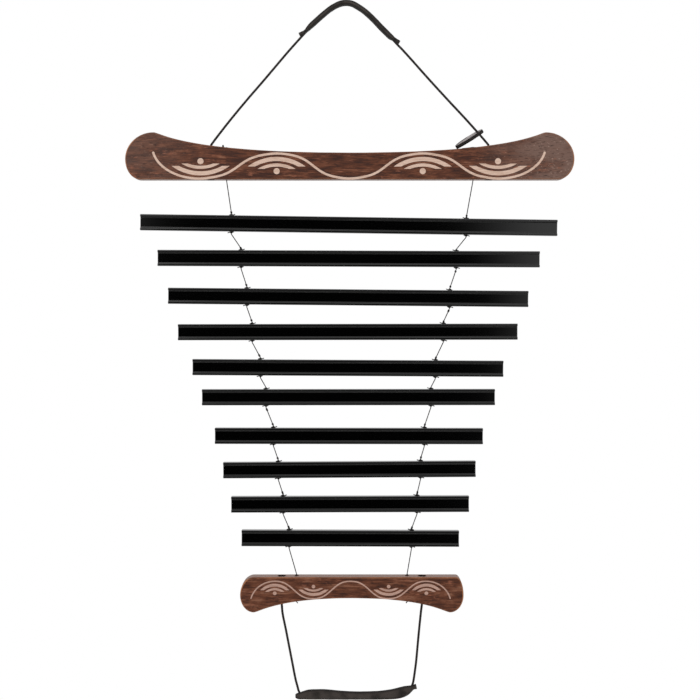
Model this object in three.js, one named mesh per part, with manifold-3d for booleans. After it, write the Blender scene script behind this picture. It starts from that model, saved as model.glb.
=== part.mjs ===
// Meditation chime: ten grooved metal bars strung like a rope ladder between two wooden boards.
// A cord loop with a soft grip carries the upper board, and a second loop hangs from the lower one.
// Millimetres, +Z up, front towards -Y. The origin is under the upper grip, where a hook holds it.

import * as THREE from 'three';
import { mergeVertices } from 'three/addons/utils/BufferGeometryUtils.js';
import Module from 'manifold-3d';

const wasm = await Module();
wasm.setup();

// Both boards
const BOARD_THICKNESS = 20;
const BOARD_EDGE_ROUND = 1.5;
const COUNTERBORE_DIAMETER = 11;
const COUNTERBORE_DEPTH = 9;
const DRILL_OVERSHOOT = 1;

// Upper board: flat below, with a crown at each end and a low waist between them
const UPPER_LENGTH = 600;
const UPPER_END_HEIGHT = 62.5;
const UPPER_WAIST_HEIGHT = 35.5;
const UPPER_TIP_HEIGHT = 26.8;
const UPPER_CROWN_REACH = 38;
const UPPER_HEEL_REACH = 23.5;
const UPPER_SHOULDER = 9.5;
const UPPER_WAIST_REACH = 223.5;
const UPPER_BOARD_DROP = 231.9;
const HANGING_HOLE_SPAN = 372;
const UPPER_STRING_SPAN = 331;

// Lower board: the same form upside down and half as long, with one corner sanded less than the other
const LOWER_LENGTH = 302;
const LOWER_END_HEIGHT = 48;
const LOWER_WAIST_HEIGHT = 28.7;
const LOWER_TIP_HEIGHT = 24.8;
const LOWER_CROWN_REACH = 18.3;
const LOWER_HEEL_REACH = 18.5;
const LOWER_SQUARE_HEEL_REACH = 6;
const LOWER_SHOULDER = 7.4;
const LOWER_WAIST_REACH = 101.5;
const LOWER_BOARD_SHIFT = 2.8;
const LOWER_BOARD_DROP = 51.5;
const HANDLE_HOLE_SPAN = 190.4;
const LOWER_STRING_SPAN = 150;

// Bars: a drawn section with a rounded lip above and below a groove, on both faces
const BAR_HEIGHT = 21.7;
const BAR_DEPTH = 10.6;
const WEB_THICKNESS = 5.4;
const LIP_HEIGHT = 4.9;
const GROOVE_WALL_HEIGHT = 2.3;
const LIP_TOP_ROUND = 2.1;
const LIP_INNER_ROUND = 1.3;
const GROOVE_ROUND = 1;
const BAR_END_ROUND = 0.7;

// The bars sound a minor pentatonic run, counted in semitones above the longest bar.
// A bar's pitch goes with one over its length squared, and a short bar is a little flatter than that.
const LONGEST_BAR = 560;
const SEMITONES = [0, 3, 5, 7, 10, 12, 15, 17, 19, 22];
const SHORT_BAR_TRIM = 0.000016;

// Each bar hangs near the two still points of its ringing, this share of its length from each end.
const STILL_POINT_SHARE = 0.218;

// From the upper board's underside to the first bar's middle, then from bar to bar. Each pair of knots
// was tied a few millimetres off that spacing.
const FIRST_BAR_DROP = 60.6;
const BAR_SPACING = 47;
const SPACING_ERRORS = [-2, 5, -0.5, 1.5, -7.5, 5.5, -1.5, 0, -0.5];

// How far each bar has slipped sideways, and by how many degrees its right end hangs low
const BAR_SHIFTS = [-1.3, -1.5, -2.1, -2.7, -2.5, -1.8, -1.2, -0.5, 0.4, 0.7];
const BAR_TILTS = [0.79, 0.22, 0.52, -0.1, 0.31, -0.05, 0.08, -0.33, -0.17, 0.18];

// String: thin, with a knot above and below each bar
const STRING_DIAMETER = 1.1;
const STRING_SIDES = 8;
const STRING_HOLE_PLAY = 1.3;
const KNOT_WIDTH = 6.4;
const KNOT_DEPTH = 2.6;
const KNOT_HEIGHT = 1.9;
const KNOT_FOOT = 0.01;
const BEAD_DIAMETER = 2.3;
const BEAD_HEIGHT = 2.8;
const BEAD_RISE = 1.2;
const BOARD_KNOT_WIDTH = 4;
const TAIL_KNOT_WIDTH = 2.8;
const ANCHOR_STUB = 1.4;

// Cord of the two loops
const CORD_DIAMETER = 2.8;
const CORD_SIDES = 8;
const CORD_HOLE_PLAY = 1.1;
const CORD_KNOT_DIAMETER = 7.6;
const CORD_KNOT_HEIGHT = 5.6;
const CORD_TAIL = 2.6;

// Running gap between pieces that touch, and the lift of a cord's pivot above its hole
const GAP = 0.3;
const PIVOT_LIFT = 1.8;

// Grips: a strip folded round the cord and drawn in near both ends
const GRIP_SIDES = 16;
const UPPER_GRIP_THICKNESS = 8;
const UPPER_GRIP_DEPTH = 15;
const LOWER_GRIP_THICKNESS = 15;
const LOWER_GRIP_DEPTH = 10;

// Elastic band that keeps the beater: looped round the right cord, its free end on the upper board
const BAND_HALF_LENGTH = 21.3;
const BAND_NEAR_BULGE = 4;
const BAND_FAR_BULGE = 6.5;
const BAND_WIDTH = 4;
const BAND_THICKNESS = 0.9;
const BAND_RISE_DEGREES = 32;
const BAND_ROLL_DEGREES = 20;
const BAND_INSET = 25.4;
const BAND_REST_GAP = 0.8;
const BAND_STEPS = 28;

// Routes in the plane of the chime, [x, z], chosen by hand. The hanging cord's points run from the
// grip down to just above its hole in the upper board. The lower cord's run from the lower board to
// its grip, and are counted from the middle of that board's flat edge.
const HANGING_CORD_LEFT = [
  [-65.5, -42.1], [-80.6, -58.8], [-92, -72], [-114.8, -98.7], [-137.9, -125.2], [-160.3, -152],
  [-178.3, -174.8],
];
const HANGING_CORD_RIGHT = [
  [64.1, -51.9], [70.9, -58.8], [83, -72], [107, -98.7], [131.5, -125.2], [156.7, -152],
  [178, -175.7],
];
const LOWER_CORD_LEFT = [
  [-94, -52], [-89.6, -74], [-85.4, -96], [-81.2, -118], [-77, -140], [-74.2, -151],
  [-72.2, -159.2],
];
const LOWER_CORD_RIGHT = [
  [93.6, -52], [91.4, -74], [89.4, -96], [87.4, -118], [84.8, -138], [82.9, -148],
];

// Grip stations: [x, z, share of the thickness seen from the front, share of the depth]
const UPPER_GRIP = [
  [-67.2, -38.6, 0.75, 0.72], [-63.6, -36.6, 0.68, 0.74], [-59.6, -34.2, 0.53, 0.7],
  [-56.4, -31.4, 0.75, 0.86], [-52.2, -27.2, 0.93, 1], [-45.6, -21.4, 0.97, 1], [-36.6, -13.6, 0.97, 1],
  [-27.8, -6.2, 0.97, 1], [-20, -0.8, 0.97, 1], [-12.5, 2.7, 1, 1], [-5, 4.3, 1, 1],
  [2.8, 3.9, 1, 1], [10.5, 1.2, 1, 1], [18, -3.6, 1, 1], [26, -10.4, 1, 1], [34.2, -18.6, 1, 1],
  [42.2, -27.2, 1, 1], [49.2, -34.8, 1, 1], [54.2, -39.8, 0.95, 1], [57.4, -42.4, 0.78, 0.86],
  [60.4, -44.5, 0.53, 0.7], [63.2, -46.6, 0.68, 0.74], [66, -48.8, 0.75, 0.72],
];
const LOWER_GRIP = [
  [-76.2, -164.6, 0.43, 0.6], [-73.6, -164.8, 0.59, 0.7], [-70.2, -164.8, 0.67, 0.8],
  [-65, -163.8, 0.79, 0.9], [-59, -163, 0.92, 1], [-48, -162.7, 0.97, 1], [-36, -162.8, 0.96, 1],
  [-23, -163.4, 0.89, 1], [-9, -164, 0.81, 1], [4, -164.3, 0.77, 1], [17.6, -164.3, 0.77, 1],
  [31, -164, 0.8, 1], [42.4, -163.5, 0.85, 1], [52, -162.7, 0.92, 1], [60, -161.7, 0.99, 1],
  [67.6, -159.8, 1, 1], [73.6, -157.6, 0.91, 0.95], [78.6, -155.3, 0.69, 0.8],
  [82.4, -153.2, 0.44, 0.7], [84.6, -152.2, 0.41, 0.7], [87, -151.4, 0.43, 0.66],
];

// Finishes
const wood = new THREE.MeshStandardMaterial({ color: 0x5a3e34, roughness: 0.55, metalness: 0 });
const blackMetal = new THREE.MeshStandardMaterial({ color: 0x0b0b0c, roughness: 0.18, metalness: 0.6 });
const cordBlack = new THREE.MeshStandardMaterial({ color: 0x1d1a19, roughness: 0.8, metalness: 0 });
const stringGrey = new THREE.MeshStandardMaterial({ color: 0x3a3735, roughness: 0.7, metalness: 0 });
const gripBlack = new THREE.MeshStandardMaterial({ color: 0x2f2b29, roughness: 0.9, metalness: 0 });
const elasticBlack = new THREE.MeshStandardMaterial({ color: 0x2a2625, roughness: 0.85, metalness: 0 });

function named(name, geometry, material) {
  const mesh = new THREE.Mesh(geometry, material);
  mesh.name = name;
  return mesh;
}

// Solids from points and triangles

function closedGeometry(points, faces) {
  const geometry = new THREE.BufferGeometry();
  geometry.setAttribute('position', new THREE.Float32BufferAttribute(points, 3));
  geometry.setIndex(volumeOf(points, faces) < 0 ? faces.toReversed() : faces);
  return geometry;
}

function volumeOf(points, faces) {
  const corner = (index) => new THREE.Vector3().fromArray(points, 3 * index);
  let sum = 0;
  for (let i = 0; i < faces.length; i += 3) {
    sum += corner(faces[i]).dot(corner(faces[i + 1]).cross(corner(faces[i + 2])));
  }
  return sum / 6;
}

// Joins rings of equal size into a tube; its ends are capped, or joined to each other for a ring.
function skin(rings, { loop = false } = {}) {
  const sides = rings[0].length;
  const faces = [];
  const spans = loop ? rings.length : rings.length - 1;
  for (let i = 0; i < spans; i += 1) {
    const here = i * sides;
    const there = ((i + 1) % rings.length) * sides;
    for (let k = 0; k < sides; k += 1) {
      const next = (k + 1) % sides;
      faces.push(here + k, there + k, there + next, here + k, there + next, here + next);
    }
  }
  if (!loop) {
    const last = (rings.length - 1) * sides;
    for (let k = 1; k < sides - 1; k += 1) {
      faces.push(0, k, k + 1, last, last + k + 1, last + k);
    }
  }
  const points = rings.flat().flatMap((point) => point.toArray());
  return closedGeometry(points, faces);
}

// A tube through stations { x, z, wide, deep } in the plane of the chime. Its sections stand square
// to the route, or level where the station says so.
function tube(stations, sides) {
  const rings = stations.map((station, i) => {
    const before = stations[Math.max(i - 1, 0)];
    const after = stations[Math.min(i + 1, stations.length - 1)];
    const route = new THREE.Vector2(after.x - before.x, after.z - before.z).normalize();
    const across = station.level ? new THREE.Vector2(1, 0) : new THREE.Vector2(-route.y, route.x);
    return Array.from({ length: sides }, (_, k) => {
      const turn = (2 * Math.PI * (k + 0.5)) / sides;
      const side = station.wide * Math.cos(turn);
      return new THREE.Vector3(
        station.x + across.x * side,
        station.deep * Math.sin(turn),
        station.z + across.y * side,
      );
    });
  });
  return skin(rings);
}

// A shape whose corners { x, y, round } are softened
function softenedShape(corners) {
  const shape = new THREE.Shape();
  corners.forEach((corner, i) => {
    const here = new THREE.Vector2(corner.x, corner.y);
    const before = corners.at(i - 1);
    const after = corners[(i + 1) % corners.length];
    const towards = (other) => new THREE.Vector2(other.x, other.y)
      .sub(here).setLength(corner.round).add(here);
    const from = towards(before);
    const to = towards(after);
    if (i === 0) {
      shape.moveTo(from.x, from.y);
    } else {
      shape.lineTo(from.x, from.y);
    }
    shape.quadraticCurveTo(here.x, here.y, to.x, to.y);
  });
  shape.closePath();
  return shape;
}

function bodyOf(geometry) {
  const bare = geometry.clone();
  bare.deleteAttribute('normal');
  bare.deleteAttribute('uv');
  const merged = mergeVertices(bare);
  return new wasm.Manifold(new wasm.Mesh({
    numProp: 3,
    vertProperties: new Float32Array(merged.attributes.position.array),
    triVerts: new Uint32Array(merged.index.array),
  }));
}

function geometryOf(body) {
  const { vertProperties, triVerts } = body.getMesh();
  const geometry = new THREE.BufferGeometry();
  geometry.setAttribute('position', new THREE.Float32BufferAttribute(vertProperties, 3));
  geometry.setIndex([...triVerts]);
  return geometry;
}

function cutAway(geometry, cutters) {
  return geometryOf(cutters.reduce((body, cutter) => body.subtract(bodyOf(cutter)), bodyOf(geometry)));
}

// A vertical drill from one height to another
function drill(diameter, x, from, to, sides = 12) {
  const cutter = new THREE.CylinderGeometry(diameter / 2, diameter / 2, Math.abs(to - from), sides);
  return cutter.rotateX(Math.PI / 2).translate(x, 0, (from + to) / 2);
}

// Boards. A board is drawn with its flat edge on the x axis and its crowns above it.

function waistCurve(board) {
  const crown = board.length / 2 - board.crownReach;
  return new THREE.CubicBezierCurve(
    new THREE.Vector2(crown, board.endHeight),
    new THREE.Vector2(crown - board.shoulder, board.endHeight),
    new THREE.Vector2(board.waistReach, board.waistHeight),
    new THREE.Vector2(0, board.waistHeight),
  );
}

function boardShape(board) {
  const tip = board.length / 2;
  const [leftHeel, rightHeel] = board.heelReaches;
  const crown = tip - board.crownReach;
  const crownRise = board.endHeight - board.tipHeight;
  const waist = waistCurve(board);
  const shape = new THREE.Shape();
  shape.moveTo(leftHeel - tip, 0);
  shape.lineTo(tip - rightHeel, 0);
  shape.absellipse(tip - rightHeel, board.tipHeight, rightHeel, board.tipHeight, -Math.PI / 2, 0);
  shape.absellipse(crown, board.tipHeight, board.crownReach, crownRise, 0, Math.PI / 2);
  shape.bezierCurveTo(waist.v1.x, waist.v1.y, waist.v2.x, waist.v2.y, waist.v3.x, waist.v3.y);
  shape.bezierCurveTo(-waist.v2.x, waist.v2.y, -waist.v1.x, waist.v1.y, -waist.v0.x, waist.v0.y);
  shape.absellipse(-crown, board.tipHeight, board.crownReach, crownRise, Math.PI / 2, Math.PI);
  shape.absellipse(leftHeel - tip, board.tipHeight, leftHeel, board.tipHeight, Math.PI, 1.5 * Math.PI);
  return shape;
}

// Height of the waisted edge above the flat one, found by halving along the curve
function edgeHeight(board, x) {
  const waist = waistCurve(board);
  let low = 0;
  let high = 1;
  for (let i = 0; i < 40; i += 1) {
    const middle = (low + high) / 2;
    if (waist.getPoint(middle).x > Math.abs(x)) {
      low = middle;
    } else {
      high = middle;
    }
  }
  return waist.getPoint(low).y;
}

// Through holes for cord and string, and a counterbore from the flat edge for each cord's knot
function boardGeometry(board) {
  const blank = new THREE.ExtrudeGeometry(boardShape(board), {
    depth: BOARD_THICKNESS - 2 * BOARD_EDGE_ROUND,
    bevelThickness: BOARD_EDGE_ROUND,
    bevelSize: BOARD_EDGE_ROUND,
    bevelOffset: -BOARD_EDGE_ROUND,
    bevelSegments: 2,
    curveSegments: 8,
  });
  blank.rotateX(Math.PI / 2).translate(0, BOARD_THICKNESS / 2 - BOARD_EDGE_ROUND, 0);
  const below = -DRILL_OVERSHOOT;
  const above = board.endHeight + DRILL_OVERSHOOT;
  const drills = [-1, 1].flatMap((side) => [
    drill(CORD_DIAMETER + CORD_HOLE_PLAY, (side * board.cordSpan) / 2, below, above),
    drill(COUNTERBORE_DIAMETER, (side * board.cordSpan) / 2, below, COUNTERBORE_DEPTH, 20),
    drill(STRING_DIAMETER + STRING_HOLE_PLAY, (side * board.stringSpan) / 2, below, above),
  ]);
  return cutAway(blank, drills);
}

const upperBoard = {
  length: UPPER_LENGTH,
  endHeight: UPPER_END_HEIGHT,
  waistHeight: UPPER_WAIST_HEIGHT,
  tipHeight: UPPER_TIP_HEIGHT,
  crownReach: UPPER_CROWN_REACH,
  heelReaches: [UPPER_HEEL_REACH, UPPER_HEEL_REACH],
  shoulder: UPPER_SHOULDER,
  waistReach: UPPER_WAIST_REACH,
  cordSpan: HANGING_HOLE_SPAN,
  stringSpan: UPPER_STRING_SPAN,
};

const lowerBoard = {
  length: LOWER_LENGTH,
  endHeight: LOWER_END_HEIGHT,
  waistHeight: LOWER_WAIST_HEIGHT,
  tipHeight: LOWER_TIP_HEIGHT,
  crownReach: LOWER_CROWN_REACH,
  heelReaches: [LOWER_SQUARE_HEEL_REACH, LOWER_HEEL_REACH],
  shoulder: LOWER_SHOULDER,
  waistReach: LOWER_WAIST_REACH,
  cordSpan: HANDLE_HOLE_SPAN,
  stringSpan: LOWER_STRING_SPAN,
};

// Bars

function barSection() {
  const half = BAR_HEIGHT / 2;
  const face = BAR_DEPTH / 2;
  const floor = WEB_THICKNESS / 2;
  const lip = half - LIP_HEIGHT;
  const groove = lip - GROOVE_WALL_HEIGHT;
  const quarter = [
    { x: face, y: half, round: LIP_TOP_ROUND },
    { x: face, y: lip, round: LIP_INNER_ROUND },
    { x: floor, y: groove, round: GROOVE_ROUND },
  ];
  const upsideDown = ({ x, y, round }) => ({ x, y: -y, round });
  const right = [...quarter, ...quarter.toReversed().map(upsideDown)];
  const left = right.map(({ x, y, round }) => ({ x: -x, y: -y, round }));
  return softenedShape([...right, ...left]);
}

function barGeometry(length) {
  const blank = new THREE.ExtrudeGeometry(barSection(), {
    depth: length - 2 * BAR_END_ROUND,
    bevelThickness: BAR_END_ROUND,
    bevelSize: BAR_END_ROUND,
    bevelOffset: -BAR_END_ROUND,
    bevelSegments: 1,
    curveSegments: 2,
  });
  blank.translate(0, 0, BAR_END_ROUND - length / 2);
  const sectionToBar = new THREE.Matrix4().makeBasis(
    new THREE.Vector3(0, 1, 0),
    new THREE.Vector3(0, 0, 1),
    new THREE.Vector3(1, 0, 0),
  );
  blank.applyMatrix4(sectionToBar);
  const holes = [-1, 1].map((side) => drill(
    STRING_DIAMETER + STRING_HOLE_PLAY,
    side * holeOffset(length),
    -BAR_HEIGHT,
    BAR_HEIGHT,
    8,
  ));
  return cutAway(blank, holes);
}

function barLength(index) {
  const steps = SEMITONES[index];
  return LONGEST_BAR * 2 ** (-steps / 24) * (1 - SHORT_BAR_TRIM * steps * steps);
}

function holeOffset(length) {
  return length * (0.5 - STILL_POINT_SHARE);
}

// Stations of a string or cord going down

const cordRadius = CORD_DIAMETER / 2;
const stringRadius = STRING_DIAMETER / 2;

function thread(x, z, radius = stringRadius) {
  return { x, z, wide: radius, deep: radius, level: true };
}

// The rounded top of a string, centred on the point it swings about
function threadTop(pivot) {
  return [
    thread(pivot.x, pivot.z + stringRadius, stringRadius * 0.45),
    thread(pivot.x, pivot.z + stringRadius * 0.7, stringRadius * 0.85),
    thread(pivot.x, pivot.z),
  ];
}

// A flat knot, widest across the bar
function flatKnot(x, top, width) {
  const full = { x, wide: width / 2, deep: KNOT_DEPTH / 2, level: true };
  return [
    thread(x, top),
    { ...full, z: top - KNOT_HEIGHT * 0.35 },
    { ...full, z: top - KNOT_HEIGHT * 0.75 },
    { ...full, wide: width * 0.36, z: top - KNOT_HEIGHT },
    thread(x, top - KNOT_HEIGHT - KNOT_FOOT),
  ];
}

// A small round knot above the flat one
function bead(x, bottom) {
  const radius = BEAD_DIAMETER / 2;
  return [
    thread(x, bottom + BEAD_HEIGHT),
    thread(x, bottom + BEAD_HEIGHT * 0.7, radius * 0.9),
    thread(x, bottom + BEAD_HEIGHT * 0.3, radius),
    thread(x, bottom, stringRadius * 1.2),
  ];
}

// A rung: one bar on its two strings. Each string starts where it swings below the rung above it,
// and the two points that it swings about are kept with the group.
function rung(index, middle, pivotsAbove) {
  const number = String(index + 1).padStart(2, '0');
  const length = barLength(index);
  const group = new THREE.Group();
  group.position.copy(middle);
  group.rotation.y = THREE.MathUtils.degToRad(BAR_TILTS[index]);
  group.updateMatrixWorld();
  group.userData.swingPoints = pivotsAbove;
  group.add(named(`bar_${number}`, barGeometry(length), blackMetal));
  const pivotsBelow = ['left', 'right'].map((name, which) => {
    const x = (which === 0 ? -1 : 1) * holeOffset(length);
    const pivot = group.worldToLocal(pivotsAbove[which].clone());
    const knotFoot = BAR_HEIGHT / 2 + GAP;
    const knotTop = knotFoot + KNOT_HEIGHT;
    const lowerKnotTop = -knotFoot;
    const end = lowerKnotTop - KNOT_HEIGHT;
    const stations = [
      ...threadTop(pivot),
      ...bead(x, knotTop + BEAD_RISE),
      ...flatKnot(x, knotTop, KNOT_WIDTH),
      ...flatKnot(x, lowerKnotTop, KNOT_WIDTH),
    ];
    group.add(named(`string_${number}_${name}`, tube(stations, STRING_SIDES), stringGrey));
    return group.localToWorld(new THREE.Vector3(x, 0, end - GAP - stringRadius));
  });
  return { group, pivotsBelow };
}

const chime = new THREE.Group();

// Upper board with its knots

const upperFlat = -UPPER_BOARD_DROP;
const cordX = HANGING_HOLE_SPAN / 2;
const upperTopAtCord = upperFlat + edgeHeight(upperBoard, cordX);
const upperTopAtString = upperFlat + edgeHeight(upperBoard, UPPER_STRING_SPAN / 2);

const upperBoardMesh = named('top_board', boardGeometry(upperBoard), wood);
upperBoardMesh.position.z = upperFlat;
chime.add(upperBoardMesh);

// A cord's end inside a board: its stub in the through hole and the knot in the counterbore.
// It is drawn from the open end of the through hole towards the flat edge, which faces `way`.
function knottedEnd(x, holeMouth, flat, way) {
  const roof = flat - way * COUNTERBORE_DEPTH;
  const knotStart = roof + way * GAP;
  const knotEnd = knotStart + way * CORD_KNOT_HEIGHT;
  const radius = CORD_KNOT_DIAMETER / 2;
  return [
    thread(x, holeMouth, cordRadius * 0.7),
    thread(x, holeMouth + way * 0.5, cordRadius),
    thread(x, knotStart, cordRadius),
    thread(x, knotStart + way * CORD_KNOT_HEIGHT * 0.2, radius * 0.8),
    thread(x, knotStart + way * CORD_KNOT_HEIGHT * 0.5, radius),
    thread(x, knotStart + way * CORD_KNOT_HEIGHT * 0.85, radius * 0.75),
    thread(x, knotEnd, cordRadius),
    thread(x, knotEnd + way * CORD_TAIL, cordRadius),
  ];
}

['left', 'right'].forEach((name, which) => {
  const side = which === 0 ? -1 : 1;
  const knot = knottedEnd(side * cordX, upperTopAtCord, upperFlat, -1);
  chime.add(named(`hanging_knot_${name}`, tube(knot, CORD_SIDES), cordBlack));
  const x = (side * UPPER_STRING_SPAN) / 2;
  const foot = upperTopAtString + 2 * GAP;
  const anchor = [
    thread(x, foot + KNOT_HEIGHT + ANCHOR_STUB, stringRadius * 0.8),
    ...flatKnot(x, foot + KNOT_HEIGHT, BOARD_KNOT_WIDTH),
    thread(x, upperFlat + GAP),
  ];
  chime.add(named(`anchor_string_${name}`, tube(anchor, STRING_SIDES), stringGrey));
});

// Upper loop: two stretches of cord between the grip and the board, and the grip itself

function cordStations(route) {
  return route.map(([x, z]) => ({ x, z, wide: cordRadius, deep: cordRadius }));
}

// Rounds the end of a cord that swings: centred on the pivot, with a smaller last section
function swingingEnd(pivot, from) {
  const way = new THREE.Vector2(pivot.x - from[0], pivot.z - from[1]).normalize();
  const beyond = (share) => (
    { x: pivot.x + way.x * cordRadius * share, z: pivot.z + way.y * cordRadius * share }
  );
  return [
    { ...pivot, wide: cordRadius, deep: cordRadius },
    { ...beyond(0.7), wide: cordRadius * 0.7, deep: cordRadius * 0.7 },
    { ...beyond(0.95), wide: cordRadius * 0.25, deep: cordRadius * 0.25 },
  ];
}

const hangingPivot = upperTopAtCord + PIVOT_LIFT;
[HANGING_CORD_LEFT, HANGING_CORD_RIGHT].forEach((route, which) => {
  const pivot = { x: which === 0 ? -cordX : cordX, z: hangingPivot };
  const stations = [...cordStations(route), ...swingingEnd(pivot, route.at(-1))];
  const name = `hanging_cord_${which === 0 ? 'left' : 'right'}`;
  chime.add(named(name, tube(stations, CORD_SIDES), cordBlack));
});

function gripGeometry(route, thickness, depth) {
  const stations = route.map(([x, z, thick, deep]) => (
    { x, z, wide: (thickness / 2) * thick, deep: (depth / 2) * deep }
  ));
  return tube(stations, GRIP_SIDES);
}

const upperGrip = gripGeometry(UPPER_GRIP, UPPER_GRIP_THICKNESS, UPPER_GRIP_DEPTH);
chime.add(named('top_grip', upperGrip, gripBlack));

// Beater band: a flat elastic loop. It leans on the board at its left end and lies over the cord.

function bandGeometry() {
  const middleX = cordX - BAND_INSET;
  const rise = THREE.MathUtils.degToRad(BAND_RISE_DEGREES);
  const roll = THREE.MathUtils.degToRad(BAND_ROLL_DEGREES);
  const along = new THREE.Vector3(Math.cos(rise), 0, Math.sin(rise));
  const upright = new THREE.Vector3(-Math.sin(rise), 0, Math.cos(rise));
  const across = new THREE.Vector3(0, Math.cos(roll), 0).addScaledVector(upright, Math.sin(roll));
  const width = new THREE.Vector3(0, -Math.sin(roll), 0).addScaledVector(upright, Math.cos(roll));
  const tipX = middleX - BAND_HALF_LENGTH * along.x;
  const boardTop = upperFlat + edgeHeight(upperBoard, tipX);
  const lowestCorner = (BAND_WIDTH / 2) * Math.cos(roll) * along.x + (BAND_THICKNESS / 2) * along.z;
  const tipZ = boardTop + BAND_REST_GAP + lowestCorner;
  const middle = new THREE.Vector3(middleX, 0, tipZ + BAND_HALF_LENGTH * along.z);
  const outline = (turn, inset) => {
    const bulge = Math.sin(turn) < 0 ? BAND_NEAR_BULGE : BAND_FAR_BULGE;
    return middle.clone()
      .addScaledVector(along, (BAND_HALF_LENGTH - inset) * Math.cos(turn))
      .addScaledVector(across, (bulge - inset) * Math.sin(turn));
  };
  const rings = Array.from({ length: BAND_STEPS }, (_, i) => {
    const turn = (2 * Math.PI * i) / BAND_STEPS;
    return [[0, -1], [BAND_THICKNESS, -1], [BAND_THICKNESS, 1], [0, 1]].map(([inset, edge]) => (
      outline(turn, inset).addScaledVector(width, (edge * BAND_WIDTH) / 2)
    ));
  });
  return skin(rings, { loop: true });
}

chime.add(named('beater_band', bandGeometry(), elasticBlack));

// The ladder of bars

let pivots = [-1, 1].map((side) => (
  new THREE.Vector3((side * UPPER_STRING_SPAN) / 2, 0, upperFlat - stringRadius)
));
let height = upperFlat;
SEMITONES.forEach((_, index) => {
  height -= index === 0 ? FIRST_BAR_DROP : BAR_SPACING + SPACING_ERRORS[index - 1];
  const { group, pivotsBelow } = rung(index, new THREE.Vector3(BAR_SHIFTS[index], 0, height), pivots);
  chime.add(group);
  pivots = pivotsBelow;
});

// Lower board, turned upside down, with the ends of the strings and the knots of the handle cord

const lowerFlat = height - LOWER_BOARD_DROP;
const lowerEnd = new THREE.Group();
lowerEnd.position.set(LOWER_BOARD_SHIFT, 0, lowerFlat);
lowerEnd.updateMatrixWorld();
lowerEnd.userData.swingPoints = pivots;
const lowerBoardMesh = named('bottom_board', boardGeometry(lowerBoard), wood);
lowerBoardMesh.rotation.y = Math.PI;
lowerEnd.add(lowerBoardMesh);
chime.add(lowerEnd);

const handleX = HANDLE_HOLE_SPAN / 2;
const undersideAtHandle = -edgeHeight(lowerBoard, handleX);
const undersideAtString = -edgeHeight(lowerBoard, LOWER_STRING_SPAN / 2);
['left', 'right'].forEach((name, which) => {
  const side = which === 0 ? -1 : 1;
  const x = (side * LOWER_STRING_SPAN) / 2;
  const pivot = lowerEnd.worldToLocal(pivots[which].clone());
  const tailTop = undersideAtString - 2 * GAP;
  const lastString = [
    ...threadTop(pivot),
    ...flatKnot(x, GAP + KNOT_HEIGHT, BOARD_KNOT_WIDTH),
    ...flatKnot(x, tailTop, TAIL_KNOT_WIDTH),
  ];
  lowerEnd.add(named(`string_11_${name}`, tube(lastString, STRING_SIDES), stringGrey));
  const knot = knottedEnd(side * handleX, undersideAtHandle, 0, 1);
  lowerEnd.add(named(`lower_knot_${name}`, tube(knot, CORD_SIDES), cordBlack));
});

// Lower loop

const handlePivot = undersideAtHandle - PIVOT_LIFT;
[LOWER_CORD_LEFT, LOWER_CORD_RIGHT].forEach((route, which) => {
  const pivot = { x: which === 0 ? -handleX : handleX, z: handlePivot };
  const stations = [...swingingEnd(pivot, route[0]).toReversed(), ...cordStations(route)];
  const name = `lower_cord_${which === 0 ? 'left' : 'right'}`;
  lowerEnd.add(named(name, tube(stations, CORD_SIDES), cordBlack));
});

const lowerGrip = gripGeometry(LOWER_GRIP, LOWER_GRIP_THICKNESS, LOWER_GRIP_DEPTH);
lowerEnd.add(named('bottom_grip', lowerGrip, gripBlack));

export default chime;
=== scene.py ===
# %% [markdown]
# # A meditation chime in Blender
#
# Ten metal bars hang like the rungs of a rope ladder between two stained wooden boards. The packed
# CAD model gives every piece its place, its joints and its size. This script keeps that frame and
# builds what the eye sees around it. Sizes are written in millimetres and become metres in one place.

import math

import bpy
from mathutils import Matrix, Vector, noise


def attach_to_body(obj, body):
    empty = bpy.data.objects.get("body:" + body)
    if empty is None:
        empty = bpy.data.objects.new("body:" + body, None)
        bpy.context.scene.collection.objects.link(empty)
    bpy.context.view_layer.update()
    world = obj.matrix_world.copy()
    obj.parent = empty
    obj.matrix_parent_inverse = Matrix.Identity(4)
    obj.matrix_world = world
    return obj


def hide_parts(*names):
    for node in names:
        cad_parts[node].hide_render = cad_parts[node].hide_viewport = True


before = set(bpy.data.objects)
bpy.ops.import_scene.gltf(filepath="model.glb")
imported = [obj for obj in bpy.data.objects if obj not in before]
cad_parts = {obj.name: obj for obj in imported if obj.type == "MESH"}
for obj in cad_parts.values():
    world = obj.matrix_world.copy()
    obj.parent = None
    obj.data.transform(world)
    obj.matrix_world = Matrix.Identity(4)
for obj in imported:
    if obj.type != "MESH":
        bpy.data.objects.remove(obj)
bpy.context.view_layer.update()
MM = 0.001
print("CAD nodes:", len(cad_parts))

# %% [markdown]
# ## The camera
#
# The photograph was taken from in front of the fourth bar, from about 1.66 m away. A focal length is
# found by matching known distances on the object: here one pixel of the picture turns the view by
# one part in 1230, which on a 36 mm sensor is a short telephoto lens.

# %% Camera
PICTURE_PIXELS = 700
FOCAL_PIXELS = 1230
SENSOR_WIDTH = 36
CAMERA_PLACE = (0.3, -1658.7, -405.4)
CAMERA_PITCH_DOWN = 1.9

camera_data = bpy.data.cameras.new("photo_camera")
camera_data.sensor_width = SENSOR_WIDTH
camera_data.lens = SENSOR_WIDTH * FOCAL_PIXELS / PICTURE_PIXELS
camera = bpy.data.objects.new("photo_camera", camera_data)
camera.location = Vector(CAMERA_PLACE) * MM
camera.rotation_euler = (math.radians(90 - CAMERA_PITCH_DOWN), 0, 0)
bpy.context.scene.collection.objects.link(camera)
bpy.context.scene.camera = camera
print("lens in mm:", round(camera_data.lens, 2))

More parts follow.
